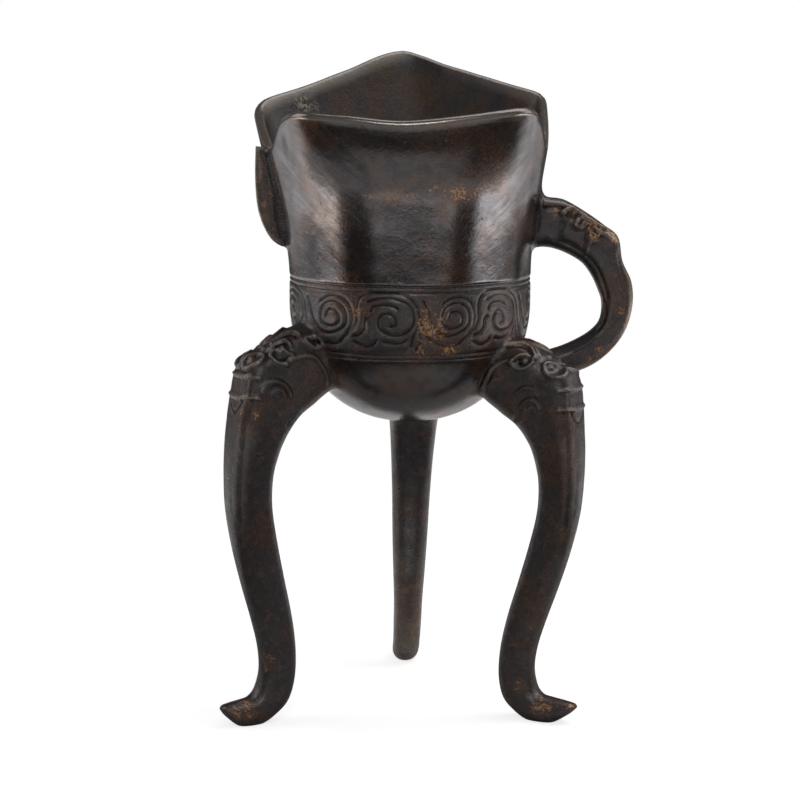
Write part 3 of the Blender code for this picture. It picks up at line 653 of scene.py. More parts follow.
def skin_point(sizes, column, row):
    """Point of the cup's skin; rows run from the outer pole over the rim to the inner pole."""
    direction = SEAM_DIRECTION + 360.0 * column / COLUMNS
    direction = round(turn_from(0, direction), 6)
    bowl, wall, rim = sizes.bowl_radius / MM, sizes.wall / MM, sizes.rim / MM
    spring, flare_z = sizes.spring_height / MM, sizes.flare_height / MM
    if row <= BOWL_ROWS:
        angle = math.pi / 2 * row / BOWL_ROWS
        return polar(bowl * math.sin(angle) ** sizes.fullness, direction,
                     spring - bowl * math.cos(angle))
    row -= BOWL_ROWS
    if row <= DRUM_ROWS:
        return outer_wall(sizes, direction, spring + (flare_z - spring) * row / DRUM_ROWS)
    row -= DRUM_ROWS
    shoulder = rim_height(direction) - rim / 2
    if row <= WALL_ROWS:
        return outer_wall(sizes, direction, flare_z + (shoulder - flare_z) * row / WALL_ROWS)
    row -= WALL_ROWS
    outward, upward = wall_directions(sizes, direction, shoulder)
    if row <= RIM_ROWS:
        angle = math.pi * row / RIM_ROWS
        middle = outer_wall(sizes, direction, shoulder) - outward * (rim / 2)
        return middle + (outward * math.cos(angle) + upward * math.sin(angle)) * (rim / 2)
    row -= RIM_ROWS
    if row <= INNER_WALL_ROWS:
        share = row / INNER_WALL_ROWS
        z = shoulder + (spring - shoulder) * share
        outward, upward = wall_directions(sizes, direction, z)
        thickness = rim + (wall - rim) * min(1.0, share * 2)
        return outer_wall(sizes, direction, z) - outward * thickness
    row -= INNER_WALL_ROWS
    angle = math.pi / 2 * (1 - row / INNER_BOWL_ROWS)
    inside = bowl - wall
    return polar(inside * math.sin(max(0.0, angle)) ** sizes.fullness, direction,
                 spring - inside * math.cos(angle))


def section_point(station, share, stout=1.0):
    """Point of a rounded-square section in the plane of a leg or handle; share goes once round."""
    out_a, up_a, out_b, up_b, half, squareness = station
    reach = Vector(((out_a - out_b) / 2, 0, (up_a - up_b) / 2))
    angle = 2 * math.pi * share
    c, s = math.cos(angle), math.sin(angle)
    size = stout * (abs(c) ** squareness + abs(s) ** squareness) ** (-1 / squareness)
    return section_middle(station) + reach * (c * size) + Vector((0, s * size * half, 0))


def stoutness(leg, z):
    """How much stouter than the pattern a leg is at a height."""
    if z > KNEE_Z:
        return 1 + (leg.knee - 1) * max(0.0, (HEAD_Z - z) / (HEAD_Z - KNEE_Z))
    return leg.foot + (leg.knee - leg.foot) * max(0.0, z) / KNEE_Z


def turned(point, azimuth):
    """A point drawn in the XZ plane, turned about the bowl's axis."""
    c, s = math.cos(math.radians(azimuth)), math.sin(math.radians(azimuth))
    return Vector((point.x * c - point.y * s, point.x * s + point.y * c, point.z))


def leg_place(leg, point):
    """A point of the pattern leg, bent and turned to where one leg stands."""
    out = point.x + leg.splay * (SPLAY_Z - point.z)
    if point.z < TOE_Z:
        out += leg.toe * max(0.0, (point.x - TOE_OUT) / (LEG_STATIONS[-1][0] - TOE_OUT))
    return turned(Vector((out, point.y + leg.lean * point.z, point.z * leg.lift)), leg.azimuth)


def sunk_in_bowl(sizes, point):
    """A point brought to the middle of the bowl's thickness, along the line to its centre."""
    centre = Vector((0, 0, sizes.spring_height / MM))
    middle = (sizes.bowl_radius - sizes.wall / 2) / MM
    return centre + (point - centre).normalized() * middle


def leg_point(sizes, leg, column, row):
    """Point of a leg; rows run from its root in the bowl's wall to the tip of its toe."""
    share = (column + 0.5) / leg.sides
    station = row / leg.steps - 1
    section = through(LEG_STATIONS, max(1.0, station))
    point = section_point(section, share, stoutness(leg, section_middle(section).z))
    if station <= 1:
        root = section_point(LEG_STATIONS[0], share)
        spread = min(1.0, station + 1)
        sunk = sunk_in_bowl(sizes, leg_place(leg, section_middle(LEG_STATIONS[0]).lerp(root, spread)))
        return sunk.lerp(leg_place(leg, point), max(0.0, station))
    return leg_place(leg, point)


def handle_point(column, row):
    """Point of the handle; rows run from its upper root round to its lower one."""
    share = (column + 0.5) / HANDLE_SIDES
    last = len(HANDLE_STATIONS) - 1
    station = row / HANDLE_STEPS - 1
    if station <= 0:
        return section_middle(HANDLE_STATIONS[0]).lerp(section_point(HANDLE_STATIONS[0], share),
                                                       station + 1)
    if station >= last:
        end = section_point(HANDLE_STATIONS[-1], share)
        return end.lerp(section_middle(HANDLE_STATIONS[-1]), station - last)
    return section_point(through(HANDLE_STATIONS, station), share)


def section_middle(station):
    """Middle of a section."""
    return Vector(((station[0] + station[2]) / 2, 0, (station[1] + station[3]) / 2))


# ---------------------------------------------------------------- solids


def skin_solid(columns, rows, place, finer=()):
    """Closed solid from a flat grid of columns and rows, finer in some rows, put in place."""
    work = bmesh.new()
    bmesh.ops.create_grid(work, x_segments=columns, y_segments=rows, size=0.5)
    bmesh.ops.transform(work, matrix=grid_to_rows(columns, rows), verts=work.verts)
    for first, last, cuts in finer:
        edges = [e for e in work.edges
                 if all(first - 0.01 < v.co.y < last + 0.01 for v in e.verts)]
        bmesh.ops.subdivide_edges(work, edges=edges, cuts=cuts, use_grid_fill=True)
    for vert in work.verts:
        vert.co = place(vert.co.x, vert.co.y)
    bmesh.ops.remove_doubles(work, verts=work.verts, dist=0.01)
    bmesh.ops.dissolve_degenerate(work, edges=work.edges, dist=0.001)
    bmesh.ops.recalc_face_normals(work, faces=work.faces)
    return work


def grid_to_rows(columns, rows):
    """Matrix that turns the unit grid into one measured in columns and rows."""
    return (Matrix.Diagonal((columns, rows, 1.0, 1.0))
            @ Matrix.Translation((0.5, 0.5, 0)))


def wave(point, amount):
    """Slow wander of a hand-worked surface."""
    slow = noise.noise(point / 14.0)
    quick = noise.noise(point / 4.5 + Vector((7.1, 3.3, 1.7)))
    return amount * (slow + 0.35 * quick)


def scroll_tree(step):
    """Search tree of points along the scroll's strokes, in (along, up, 0) from a hanging volute."""
    points = []
    for stroke in SCROLL_STROKES:
        for along, up in sampled(stroke, step):
            for shift in (-PAIR_LENGTH, 0.0, PAIR_LENGTH):
                points.append((along + shift, up, 0.0))
    return tree_of_points(points)


def tree_of_points(points):
    """Search tree of points."""
    tree = kdtree.KDTree(len(points))
    for index, point in enumerate(points):
        tree.insert(point, index)
    tree.balance()
    return tree


def band_place(direction):
    """Distance along the scroll from the hanging volute to the left of a direction."""
    first = HANGING_VOLUTES[0]
    direction = first + (direction - first) % 360
    for left, right in zip(HANGING_VOLUTES, HANGING_VOLUTES[1:]):
        if left <= direction <= right:
            return (direction - left) / (right - left) * PAIR_LENGTH
    return 0.0


def band_relief(tree, relief, point):
    """Height of the scroll band's relief at a point of the bowl (below 0 in its lines)."""
    direction = facing(point)
    height = 0.0
    for index, (level, wander) in enumerate(BORDER_LINES):
        drift = noise.noise(Vector((math.cos(math.radians(direction)) * 1.6,
                                    math.sin(math.radians(direction)) * 1.6, index // 2 * 5.0)))
        height -= BORDER_DEPTH * math.exp(-((point.z - level - wander * drift) / BORDER_WIDTH) ** 2)
    place = Vector((band_place(direction), point.z - BAND_MIDDLE, 0))
    distance = tree.find(place)[2]
    width = relief.scroll_width / MM
    height -= relief.scroll_depth / MM * math.exp(-(distance / width) ** 2)
    return height


def make_cup_skin(sizes, relief):
    """The bowl with its flaring wall and rounded rim, hollow, its scroll band worked in."""
    tree = scroll_tree(SWING_STEP / 2)
    finer = ((BAND_ROWS[0], BAND_ROWS[1], 3), (LEG_ROWS[0], LEG_ROWS[1], 1))
    work = skin_solid(COLUMNS, SKIN_ROWS, lambda c, r: skin_point(sizes, c, r), finer)
    work.normal_update()
    band_low, band_high = BORDER_LINES[-1][0] - BAND_MARGIN, BORDER_LINES[0][0] + BAND_MARGIN
    for vert in work.verts:
        outward = vert.normal.x * vert.co.x + vert.normal.y * vert.co.y > 0
        offset = wave(vert.co, sizes.waviness / MM)
        if outward and band_low < vert.co.z < band_high:
            offset += band_relief(tree, relief, vert.co)
        vert.co += vert.normal * offset
    return work


def make_leg(sizes, leg):
    """One leg: elephant head at the bowl, trunk down to the curled foot, its sole cut level."""
    rows = leg.steps * len(LEG_STATIONS)
    first, last = HEAD_STATIONS
    finer = (((first + 1) * leg.steps, (last + 1) * leg.steps, 1),)
    work = skin_solid(leg.sides, rows, lambda c, r: leg_point(sizes, leg, c, r), finer)
    close_ends(work)
    bmesh.ops.bisect_plane(work, geom=work.verts[:] + work.edges[:] + work.faces[:],
                           plane_co=(0, 0, 0), plane_no=(0, 0, -1), clear_outer=True)
    close_ends(work)
    return work


def close_ends(work):
    """Fill the open ends of a tube."""
    edges = [e for e in work.edges if e.is_boundary]
    if edges:
        bmesh.ops.holes_fill(work, edges=edges, sides=0)
    bmesh.ops.recalc_face_normals(work, faces=work.faces)


def make_handle():
    """The trunk-shaped loop handle with its head."""
    rows = HANDLE_STEPS * (len(HANDLE_STATIONS) + 1)
    first, last = HANDLE_HEAD_STATIONS
    finer = (((first + 1) * HANDLE_STEPS, (last + 1) * HANDLE_STEPS, 1),)
    return skin_solid(HANDLE_SIDES, rows, handle_point, finer)


def make_flange(sizes):
    """Plain upright flange on the left, its free edges rounded."""
    work = bmesh.new()
    outline = [(-out, up) for out, up in sampled(FLANGE_EDGE, 1.5)]
    for z in FLANGE_ROOT_HEIGHTS:
        wall = outer_wall(sizes, 180.0, z)
        outline.append((wall.x + sizes.wall / MM / 2, wall.z))
    verts = [work.verts.new((x, -FLANGE_THICKNESS / 2, z)) for x, z in outline]
    face = work.faces.new(verts)
    grown = bmesh.ops.extrude_face_region(work, geom=[face])
    moved = [item for item in grown["geom"] if isinstance(item, bmesh.types.BMVert)]
    bmesh.ops.translate(work, verts=moved, vec=(0, FLANGE_THICKNESS, 0))
    rim = [e for e in work.edges
           if e.calc_length() < 3.0 and abs(e.verts[0].co.y - e.verts[1].co.y) < 0.1]
    bmesh.ops.recalc_face_normals(work, faces=work.faces)
    bmesh.ops.bevel(work, geom=rim, offset=FLANGE_ROUNDING, segments=3, profile=0.5,
                    affect="EDGES", material=-1)
    return work


# ---------------------------------------------------------------- joining and working the metal


def tree_of(work):
    """Search tree of a mesh's faces."""
    return BVHTree.FromBMesh(work)


def faces_inwards(point, normal):
    """Whether the cup's skin looks towards the middle of the bowl at a point."""
    return normal.dot(Vector((point.x, point.y, point.z - BOWL_CENTRE_Z))) < 0


def is_inside(point, normal):
    """Whether a point lies on the inner skin of the cup."""
    reach = math.hypot(point.x, point.y)
    return faces_inwards(point, normal) and point.z > INNER_FLOOR_Z and reach < INNER_REACH


def swell_towards(work, tree, only_outer=False):
    """Thicken a surface where it nears another one, so that the two meet in a soft fillet."""
    work.normal_update()
    moves = []
    for vert in work.verts:
        if only_outer and faces_inwards(vert.co, vert.normal):
            continue
        near, normal, _, distance = tree.find_nearest(vert.co, FILLET)
        if near is None:
            continue
        if (vert.co - near).dot(normal) < 0 and vert.normal.dot(normal) > BURIED:
            distance = 0.0
        moves.append((vert, vert.normal * (FILLET_LIFT * (1 - distance / FILLET) ** 2)))
    for vert, move in moves:
        vert.co += move


def as_object(name, work, marker):
    """Turn a worked mesh into an object whose faces carry a marker material."""
    mesh = bpy.data.meshes.new(name)
    work.to_mesh(mesh)
    work.free()
    piece = bpy.data.objects.new(name, mesh)
    bpy.context.scene.collection.objects.link(piece)
    mesh.materials.append(bpy.data.materials.new("marker_" + str(marker)))
    return piece


def joined(target, tools):
    """One solid from the target and its tools; the tools are used up."""
    for tool in tools:
        union = target.modifiers.new("join", "BOOLEAN")
        union.operation = "UNION"
        union.solver = "EXACT"
        union.material_mode = "TRANSFER"
        union.object = tool
    graph = bpy.context.evaluated_depsgraph_get()
    mesh = bpy.data.meshes.new_from_object(target.evaluated_get(graph))
    for piece in [target] + tools:
        bpy.data.objects.remove(piece)
    work = bmesh.new()
    work.from_mesh(mesh)
    bpy.data.meshes.remove(mesh)
    bmesh.ops.dissolve_degenerate(work, edges=work.edges, dist=0.002)
    needless = [v for v in work.verts if len(v.link_edges) == 2]
    bmesh.ops.dissolve_verts(work, verts=needless)
    return work


def soften_joints(work, passes):
    """Smooth the creases where two of the joined solids meet."""
    seam = [v for v in work.verts if len({f.material_index for f in v.link_faces}) > 1]
    tree = tree_of_points([v.co for v in seam])
    reach = [(v, tree.find(v.co)[2]) for v in work.verts]
    for step in range(passes):
        radius = SOFT_REACH - SOFT_NARROWING * step / max(1, passes - 1)
        near = [v for v, distance in reach if distance < radius]
        bmesh.ops.smooth_vert(work, verts=near, factor=0.5, use_axis_x=True, use_axis_y=True,
                              use_axis_z=True)


def relief_samples(items, place, tree):
    """Lines and bosses as sampled points that lie on the surface, on both cheeks."""
    samples = []
    for item in items:
        if isinstance(item, Boss):
            points = np.array([item.place])
        else:
            points = sampled(item.points, SWING_STEP, item.closed)
        cheeks = (1, -1) if points[:, 1].max() > 0.01 else (1,)
        for cheek in cheeks:
            placed = [place(Vector((x, cheek * y, z))) for x, y, z in points]
            placed = [tree.find_nearest(p)[0] for p in placed]
            samples.append((item, np.array([tuple(p) for p in placed])))
    return samples


def work_relief(work, samples, strength):
    """Raise ridges and bosses and sink grooves and hollows into the surface."""
    work.normal_update()
    work.verts.ensure_lookup_table()
    places = places_of(work)
    lift = np.zeros(len(places))
    done = {}
    for item, points in samples:
        reach = RELIEF_REACH * item.width
        low, high = points.min(axis=0) - reach, points.max(axis=0) + reach
        chosen = np.flatnonzero(((places > low) & (places < high)).all(axis=1))
        if not len(chosen):
            continue
        gaps = places[chosen][:, None, :] - points[None, :, :]
        nearest = np.sqrt((gaps**2).sum(axis=2).min(axis=1))
        amount = item.height * np.exp(-(nearest / item.width) ** 2)
        # a line worked on both cheeks meets itself in the middle, where it counts once
        before = done.setdefault(id(item), np.zeros(len(places)))
        strongest = np.where(np.abs(amount) > np.abs(before[chosen]), amount, before[chosen])
        lift[chosen] += strongest - before[chosen]
        before[chosen] = strongest
    for vert, height in zip(work.verts, lift):
        if height:
            vert.co += vert.normal * (height * strength)


def places_of(work):
    """Places of all the points, one row each."""
    return np.array([tuple(v.co) for v in work.verts])


def neighbours(work):
    """Ends of every edge by number, and how many edges meet at each point."""
    work.verts.ensure_lookup_table()
    work.verts.index_update()
    ends = np.array([(e.verts[0].index, e.verts[1].index) for e in work.edges])
    return ends, np.bincount(ends.ravel(), minlength=len(work.verts))


def evened(values, net, passes):
    """Values at the points, blended with their neighbours' a number of times."""
    ends, degree = net
    count = len(values)
    for _ in range(passes):
        total = np.bincount(ends[:, 0], values[ends[:, 1]], count)
        total += np.bincount(ends[:, 1], values[ends[:, 0]], count)
        values = 0.5 * values + 0.5 * total / degree
    return values


def crusted(point):
    """Share of the crust at a point."""
    place, radius = CRUST
    away = (point - Vector(place)).length / radius
    return math.exp(-away**4)


def pitted(point):
    """Share of the casting pits at a point."""
    at, level, width, height = PITTED
    across = turn_from(at, facing(point)) / width
    return math.exp(-across**2 - ((point.z - level) / height)**2)


def standing_proud(work, net, passes):
    """How far each point stands proud of its surroundings, in millimetres."""
    places = places_of(work)
    normals = np.array([tuple(v.normal) for v in work.verts])
    smooth = np.array([evened(column, net, passes) for column in places.T]).T
    return ((places - smooth) * normals).sum(axis=1)


def chased_parts(work, net):
    """Where the surface is chased and matt: legs, handle, flange and scroll band."""
    values = []
    for vert in work.verts:
        limb = any(face.material_index for face in vert.link_faces)
        values.append(float(limb or BAND_LOW < vert.co.z < BAND_HIGH))
    return evened(np.array(values), net, 3)


def rim_wear_and_highlight(point):
    """Share of the rim's rubbed edge at a point, widened along the front lip as a painted highlight."""
    if point.z < RIM_LOW:
        return 0.0
    reach = RIM_RUB + LIP_RUB_AND_HIGHLIGHT * eased((-15.0 - point.y) / 10.0)
    return min(1.0, max(0.0, 1 - (rim_height(facing(point)) - point.z - reach) / RIM_FADE))


def rubbed(point, normal):
    """Strength of the rubbed places at a point of the outer wall."""
    if normal.x * point.x + normal.y * point.y < 0:
        return 0.0
    direction = facing(point)
    radius = math.hypot(point.x, point.y)
    strongest = 0.0
    for at, level, half_width, half_height, strength in RUBS:
        across = math.radians(turn_from(at, direction)) * radius / half_width
        upward = (point.z - level) / half_height
        strongest = max(strongest, strength * math.exp(-(across**2 + upward**2)))
    for place, size, strength in SPOTS:
        away = (point - Vector(place)).length / size
        strongest = max(strongest, strength * math.exp(-away**2))
    return strongest


def painted_wear_shade_and_highlight(work):
    """Values painted on the cup's points, by name, for its material to read, among them the rim's painted
    highlight and the relief's height that places painted shade and highlight.
    """
    work.normal_update()
    net = neighbours(work)
    inside = np.array([float(is_inside(v.co, v.normal)) for v in work.verts])
    return {
        "proud": standing_proud(work, net, FINE_PASSES),
        "corner": standing_proud(work, net, BROAD_PASSES),
        "rub": np.array([rubbed(v.co, v.normal) for v in work.verts]),
        "inside": inside,
        "crust": np.array([crusted(v.co) for v in work.verts]) * inside,
        "pitted": np.array([pitted(v.co) for v in work.verts]) * (1 - inside),
        "worked": chased_parts(work, net) * (1 - inside),
        "rim": np.array([rim_wear_and_highlight(v.co) for v in work.verts]),
    }


def bowl_axis():
    """Foot of the bowl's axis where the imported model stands."""
    low, high = CAD_BOX
    return Vector((high.x - HANDLE_REACH * MM, low.y + LIP_REACH * MM, low.z))


def cast_cup(sizes, relief):
    """The whole cup as one mesh in millimetres about the bowl's axis."""
    cup = make_cup_skin(sizes, relief)
    limbs = [make_leg(sizes, leg) for leg in LEGS.values()]
    limbs += [make_handle(), make_flange(sizes)]
    cup_tree = tree_of(cup)
    limb_trees = [tree_of(limb) for limb in limbs]
    for limb in limbs[:-1]:
        swell_towards(limb, cup_tree)
    for tree in limb_trees[:-1]:
        swell_towards(cup, tree, only_outer=True)
    target = as_object("cup_skin", cup, 0)
    tools = [as_object("limb", limb, index + 1) for index, limb in enumerate(limbs)]
    work = joined(target, tools)
    soften_joints(work, relief.smoothing)
    tree = tree_of(work)
    samples = relief_samples(HANDLE_RELIEF, lambda p: p, tree)
    for side, leg in LEGS.items():
        samples += relief_samples(LEG_RELIEF[side], lambda p, leg=leg: leg_place(leg, p), tree)
    work_relief(work, samples, relief.head_strength)
    return work


# ---------------------------------------------------------------- bronze


def add(tree, kind, inputs=None, **settings):
    """Add a shader node with its settings and input values."""
    node = tree.nodes.new(kind)
    for key, value in settings.items():
        setattr(node, key, value)
    for key, value in (inputs or {}).items():
        if isinstance(value, bpy.types.NodeSocket):
            tree.links.new(value, node.inputs[key])
        else:
            node.inputs[key].default_value = value
    return node


def fractal(tree, coords, scale, detail=4.0, roughness=0.6, distortion=0.0):
    """Noise value at a scale in cycles per metre."""
    node = add(tree, "ShaderNodeTexNoise", {
        "Vector": coords, "Scale": scale, "Detail": detail, "Roughness": roughness,
        "Distortion": distortion})
    return node.outputs["Fac"]


def spread(tree, value, low, high, to_low=0.0, to_high=1.0):
    """Map a value from one range to another, smoothly and clamped."""
    node = add(tree, "ShaderNodeMapRange", {
        "Value": value, "From Min": low, "From Max": high, "To Min": to_low, "To Max": to_high},
        interpolation_type="SMOOTHSTEP")
    return node.outputs["Result"]


def mix(tree, share, first, second):
    """Blend two colours."""
    node = add(tree, "ShaderNodeMix", data_type="RGBA")
    for socket, value in ((node.inputs[0], share), (node.inputs[6], first), (node.inputs[7], second)):
        if isinstance(value, bpy.types.NodeSocket):
            tree.links.new(value, socket)
        else:
            socket.default_value = value
    return node.outputs[2]


def sums(tree, operation, first, second):
    """One step of arithmetic."""
    node = add(tree, "ShaderNodeMath", {0: first, 1: second}, operation=operation)
    return node.outputs[0]


def product(tree, first, second):
    """Product of two values."""
    return sums(tree, "MULTIPLY", first, second)


def larger(tree, first, second):
    """The larger of two values."""
    return sums(tree, "MAXIMUM", first, second)


def rest(tree, share):
    """What is left of the whole after a share."""
    return sums(tree, "SUBTRACT", 1.0, share)


def graded(tree, share, at_none, at_all):
    """Value that goes from one figure to another as a share goes from none to all."""
    return spread(tree, share, 0.0, 1.0, at_none, at_all)


def attribute(tree, name):
    """Value painted on the piece's points."""
    node = add(tree, "ShaderNodeAttribute", attribute_name=name, attribute_type="GEOMETRY")
    return node.outputs["Fac"]


def scratches(tree, coords, slope, along, across):
    """Wiping marks that climb at a slope: noise drawn out along it, in cycles per metre each way."""
    laid = add(tree, "ShaderNodeMapping", {
        "Vector": coords, "Rotation": (0.0, -slope, 0.0), "Scale": (1 / along, 1 / along, 1 / across)},
        vector_type="TEXTURE")
    return fractal(tree, laid.outputs["Vector"], 1.0, 3.0, 0.6, 0.4)


def mirrored(tree, coords):
    """The same place on the right half for both halves of the cup."""
    parts = add(tree, "ShaderNodeSeparateXYZ", {"Vector": coords}).outputs
    across = sums(tree, "ABSOLUTE", parts["X"], 0.0)
    return add(tree, "ShaderNodeCombineXYZ", {
        "X": across, "Y": parts["Y"], "Z": parts["Z"]}).outputs["Vector"]


def bronze_patterns(tree):
    """The bronze's textures and painted values, by name."""
    coords = add(tree, "ShaderNodeTexCoord").outputs["Object"]
    halves = mirrored(tree, coords)
    across = add(tree, "ShaderNodeSeparateXYZ", {"Vector": halves}).outputs["X"]
    pits = add(tree, "ShaderNodeTexVoronoi", {"Vector": coords, "Scale": 700.0})
    painted = {name: attribute(tree, name) for name in ("proud", "corner", "rub", "inside", "rim",
                                                        "crust", "pitted")}
    return SimpleNamespace(
        clouds=fractal(tree, coords, 62.0, 5.0, 0.62, 0.3),
        mottle=fractal(tree, coords, 290.0, 5.0, 0.68),
        rust=fractal(tree, coords, 420.0, 4.0, 0.7, 0.6),
        grain=fractal(tree, coords, 1700.0, 3.0, 0.65),
        flakes=fractal(tree, coords, 900.0, 3.0, 0.7, 1.0),
        holes=pits.outputs["Distance"],
        sides=spread(tree, across, 0.010, 0.022),
        sweeps=scratches(tree, halves, 0.80, 260.0, 2600.0),
        strokes=scratches(tree, halves, 0.55, 300.0, 2200.0),
        wipes=scratches(tree, halves, 0.75, 60.0, 420.0),
        chased=attribute(tree, "worked"),
        **painted,
    )


def bronze_wear(tree, of):
    """Where the bronze is hollow, worn, pitted, crusted or waxed, added to its patterns; hollows also get
    painted shade and raised chased relief a painted highlight.
    """
    of.patchy = spread(tree, of.mottle, 0.42, 0.62)
    of.warm = spread(tree, of.clouds, 0.46, 0.62)
    # hollows of the relief: dirt and painted shade, a darker colour and weaker reflections there
    of.hollow = product(tree, spread(tree, of.proud, -0.025, -0.14), rest(tree, of.inside))
    ridge = product(tree, spread(tree, of.proud, 0.10, 0.34), product(tree, of.patchy, 0.22))
    arris = product(tree, spread(tree, of.corner, 0.35, 1.1), spread(tree, of.rust, 0.44, 0.62, 0.0, 0.32))
    arris = product(tree, arris, graded(tree, of.chased, 0.15, 1.0))
    edge = product(tree, larger(tree, ridge, arris), rest(tree, of.rim))
    speckle = spread(tree, of.grain, 0.40, 0.62)
    patch = spread(tree, product(tree, of.rub, product(tree, of.patchy, speckle)), 0.04, 0.38)
    of.worn = larger(tree, edge, patch)
    # raised chased relief turns paler and more metallic: rubbed metal and a painted highlight
    of.pale = product(tree, product(tree, spread(tree, of.proud, 0.05, 0.20), of.chased), 0.6)
    flawed = larger(tree, spread(tree, of.mottle, 0.60, 0.68), of.pitted)
    of.pit = product(tree, spread(tree, of.holes, 0.22, 0.10), flawed)
    of.scab = product(tree, of.crust, spread(tree, of.flakes, 0.44, 0.58))
    of.matt = larger(tree, of.chased, of.inside)
    of.waxed = product(tree, of.sides, rest(tree, of.matt))


def bronze_color(tree, finish, of):
    """Base colour: coats of patina, grime, painted shade in hollows, worn metal, painted highlight on rim
    and relief, pits and crust, laid one over another.
    """
    cold = product(tree, spread(tree, of.mottle, 0.50, 0.66), 0.8)
    russet = product(tree, spread(tree, of.rust, 0.50, 0.66), 0.75)
    russet = product(tree, russet, graded(tree, of.chased, 0.08, 1.0))
    dry = mix(tree, spread(tree, of.clouds, 0.40, 0.60), finish.cold_patina, finish.inner_patina)
    dry = mix(tree, product(tree, of.patchy, 0.45), dry, finish.green_patina)
    grime = product(tree, spread(tree, of.grain, 0.56, 0.40, 0.0, 0.75), graded(tree, of.chased, 0.5, 1.0))
    coats = (
        (cold, finish.cold_patina),
        (russet, finish.chased_patina),
        (product(tree, of.inside, 0.9), dry),
        (grime, GRIME),
        (product(tree, of.chased, 0.22), GRIME),
        # dirt and painted shade in the relief's hollows
        (product(tree, of.hollow, 0.68), HOLLOW_GRIME_AND_SHADE),
        # pale grey on raised chased relief: rubbed metal and a painted highlight
        (of.pale, finish.rim_metal_and_highlight),
        (product(tree, of.rub, 0.4), finish.chased_patina),
        (of.worn, finish.bare_metal),
        # rubbed grey rim, wider along the front lip as a painted highlight
        (product(tree, of.rim, 0.7), finish.rim_metal_and_highlight),
        (product(tree, of.pit, 0.7), finish.cold_patina),
        (product(tree, of.scab, 0.8), finish.deposit),
    )
    color = mix(tree, of.warm, finish.patina, finish.warm_patina)
    for share, coat in coats:
        color = mix(tree, share, color, coat)
    return color


def bronze_metal(tree, of):
    """How metallic the surface is: bare where it is worn, and at the rim and on chased ridges, where it
    also adds to their painted highlight.
    """
    bare = larger(tree, product(tree, of.worn, 0.35), product(tree, of.rim, 0.6))
    return larger(tree, bare, product(tree, of.pale, 0.5))


def bronze_roughness(tree, finish, of):
    """Roughness: low on the waxed wall, higher where it is chased, dry, wiped or grainy."""
    dull = spread(tree, of.mottle, 0.32, 0.72, finish.gloss, finish.gloss + 0.10)
    for more in (product(tree, of.chased, finish.chased_dulling),
                 product(tree, of.inside, 0.22),
                 product(tree, spread(tree, of.sweeps, 0.50, 0.72), 0.08),
                 product(tree, spread(tree, of.grain, 0.40, 0.62), 0.05)):
        dull = sums(tree, "ADD", dull, more)
    polish = product(tree, spread(tree, of.proud, 0.05, 0.30), product(tree, of.chased, 0.10))
    return sums(tree, "SUBTRACT", dull, polish)


def bronze_sheen(tree, of):
    """Strength of the reflections: weak in hollows as painted shade, weak inside, and in streaks on wiped
    sides.
    """
    # the weak reflections in hollows are painted shade
    sheen = product(tree, graded(tree, of.hollow, 0.52, 0.08), graded(tree, of.patchy, 1.0, 0.84))
    sheen = product(tree, sheen, graded(tree, of.inside, 1.0, 0.38))
    sheen = product(tree, sheen, graded(tree, of.chased, 1.0, 0.80))
    wiped = product(tree, of.waxed, spread(tree, of.wipes, 0.56, 0.40, 0.0, 0.34))
    return product(tree, sheen, rest(tree, wiped))


def bronze_surface(tree, of):
    """Bump of the mottling and grain, the wiping marks, the pits and the crust."""
    heights = product(tree, of.mottle, graded(tree, of.matt, 0.16, 0.45))
    heights = sums(tree, "ADD", heights, product(tree, of.grain, graded(tree, of.matt, 0.05, 0.30)))
    marks = product(tree, sums(tree, "ADD", of.sweeps, of.strokes), graded(tree, of.waxed, 0.01, 0.05))
    heights = sums(tree, "ADD", heights, marks)
    heights = sums(tree, "SUBTRACT", heights, product(tree, of.pit, 0.35))
    heights = sums(tree, "ADD", heights, product(tree, of.scab, 1.2))
    bump = add(tree, "ShaderNodeBump", {"Height": heights, "Strength": 0.6, "Distance": 0.0006})
    return bump.outputs["Normal"]


def bronze_material(finish):
    """Dark waxed patina over bronze, rubbed on its edges, matt where chased, crusted inside, with painted
    shade in hollows and painted highlight on rim and raised relief.
    """
    material = bpy.data.materials.new("patinated_bronze")
    material.use_nodes = True
    tree = material.node_tree
    shader = tree.nodes["Principled BSDF"]
    shader.inputs["IOR"].default_value = 2.4
    of = bronze_patterns(tree)
    bronze_wear(tree, of)
    for name, value in {
        "Base Color": bronze_color(tree, finish, of),
        "Metallic": bronze_metal(tree, of),
        "Roughness": bronze_roughness(tree, finish, of),
        "Specular IOR Level": bronze_sheen(tree, of),
        "Specular Tint": mix(tree, of.warm, COOL_GLINT, WARM_GLINT),
        "Normal": bronze_surface(tree, of),
    }.items():
        tree.links.new(value, shader.inputs[name])
    return material


# ---------------------------------------------------------------- operators


class JUE_OT_cast_cup(bpy.types.Operator):
    """Model the cup as one casting and give it its patina"""

    bl_idname = "jue.cast_cup"
    bl_label = "Cast Wine Cup"

    def execute(self, context):
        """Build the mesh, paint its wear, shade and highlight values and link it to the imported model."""
        scene = context.scene
        work = cast_cup(scene.cup_sizes, scene.relief_sizes)
        painted = painted_wear_shade_and_highlight(work)
        axis = bowl_axis()
        for vert in work.verts:
            vert.co = vert.co * MM + axis
        for face in work.faces:
            face.smooth = True
            face.material_index = 0
        mesh = bpy.data.meshes.new("bronze_wine_cup")
        work.to_mesh(mesh)
        work.free()
        if not mesh.polygons:
            raise RuntimeError("the cup came out empty")
        for name, values in painted.items():
            layer = mesh.attributes.new(name, "FLOAT", "POINT")
            layer.data.foreach_set("value", values.astype(np.float32))
        mesh.materials.append(bronze_material(scene.bronze_finish))
        cup = bpy.data.objects.new("bronze_wine_cup", mesh)
        scene.collection.objects.link(cup)
        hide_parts(NODE)
        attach(cup, BODY)
        return {"FINISHED"}


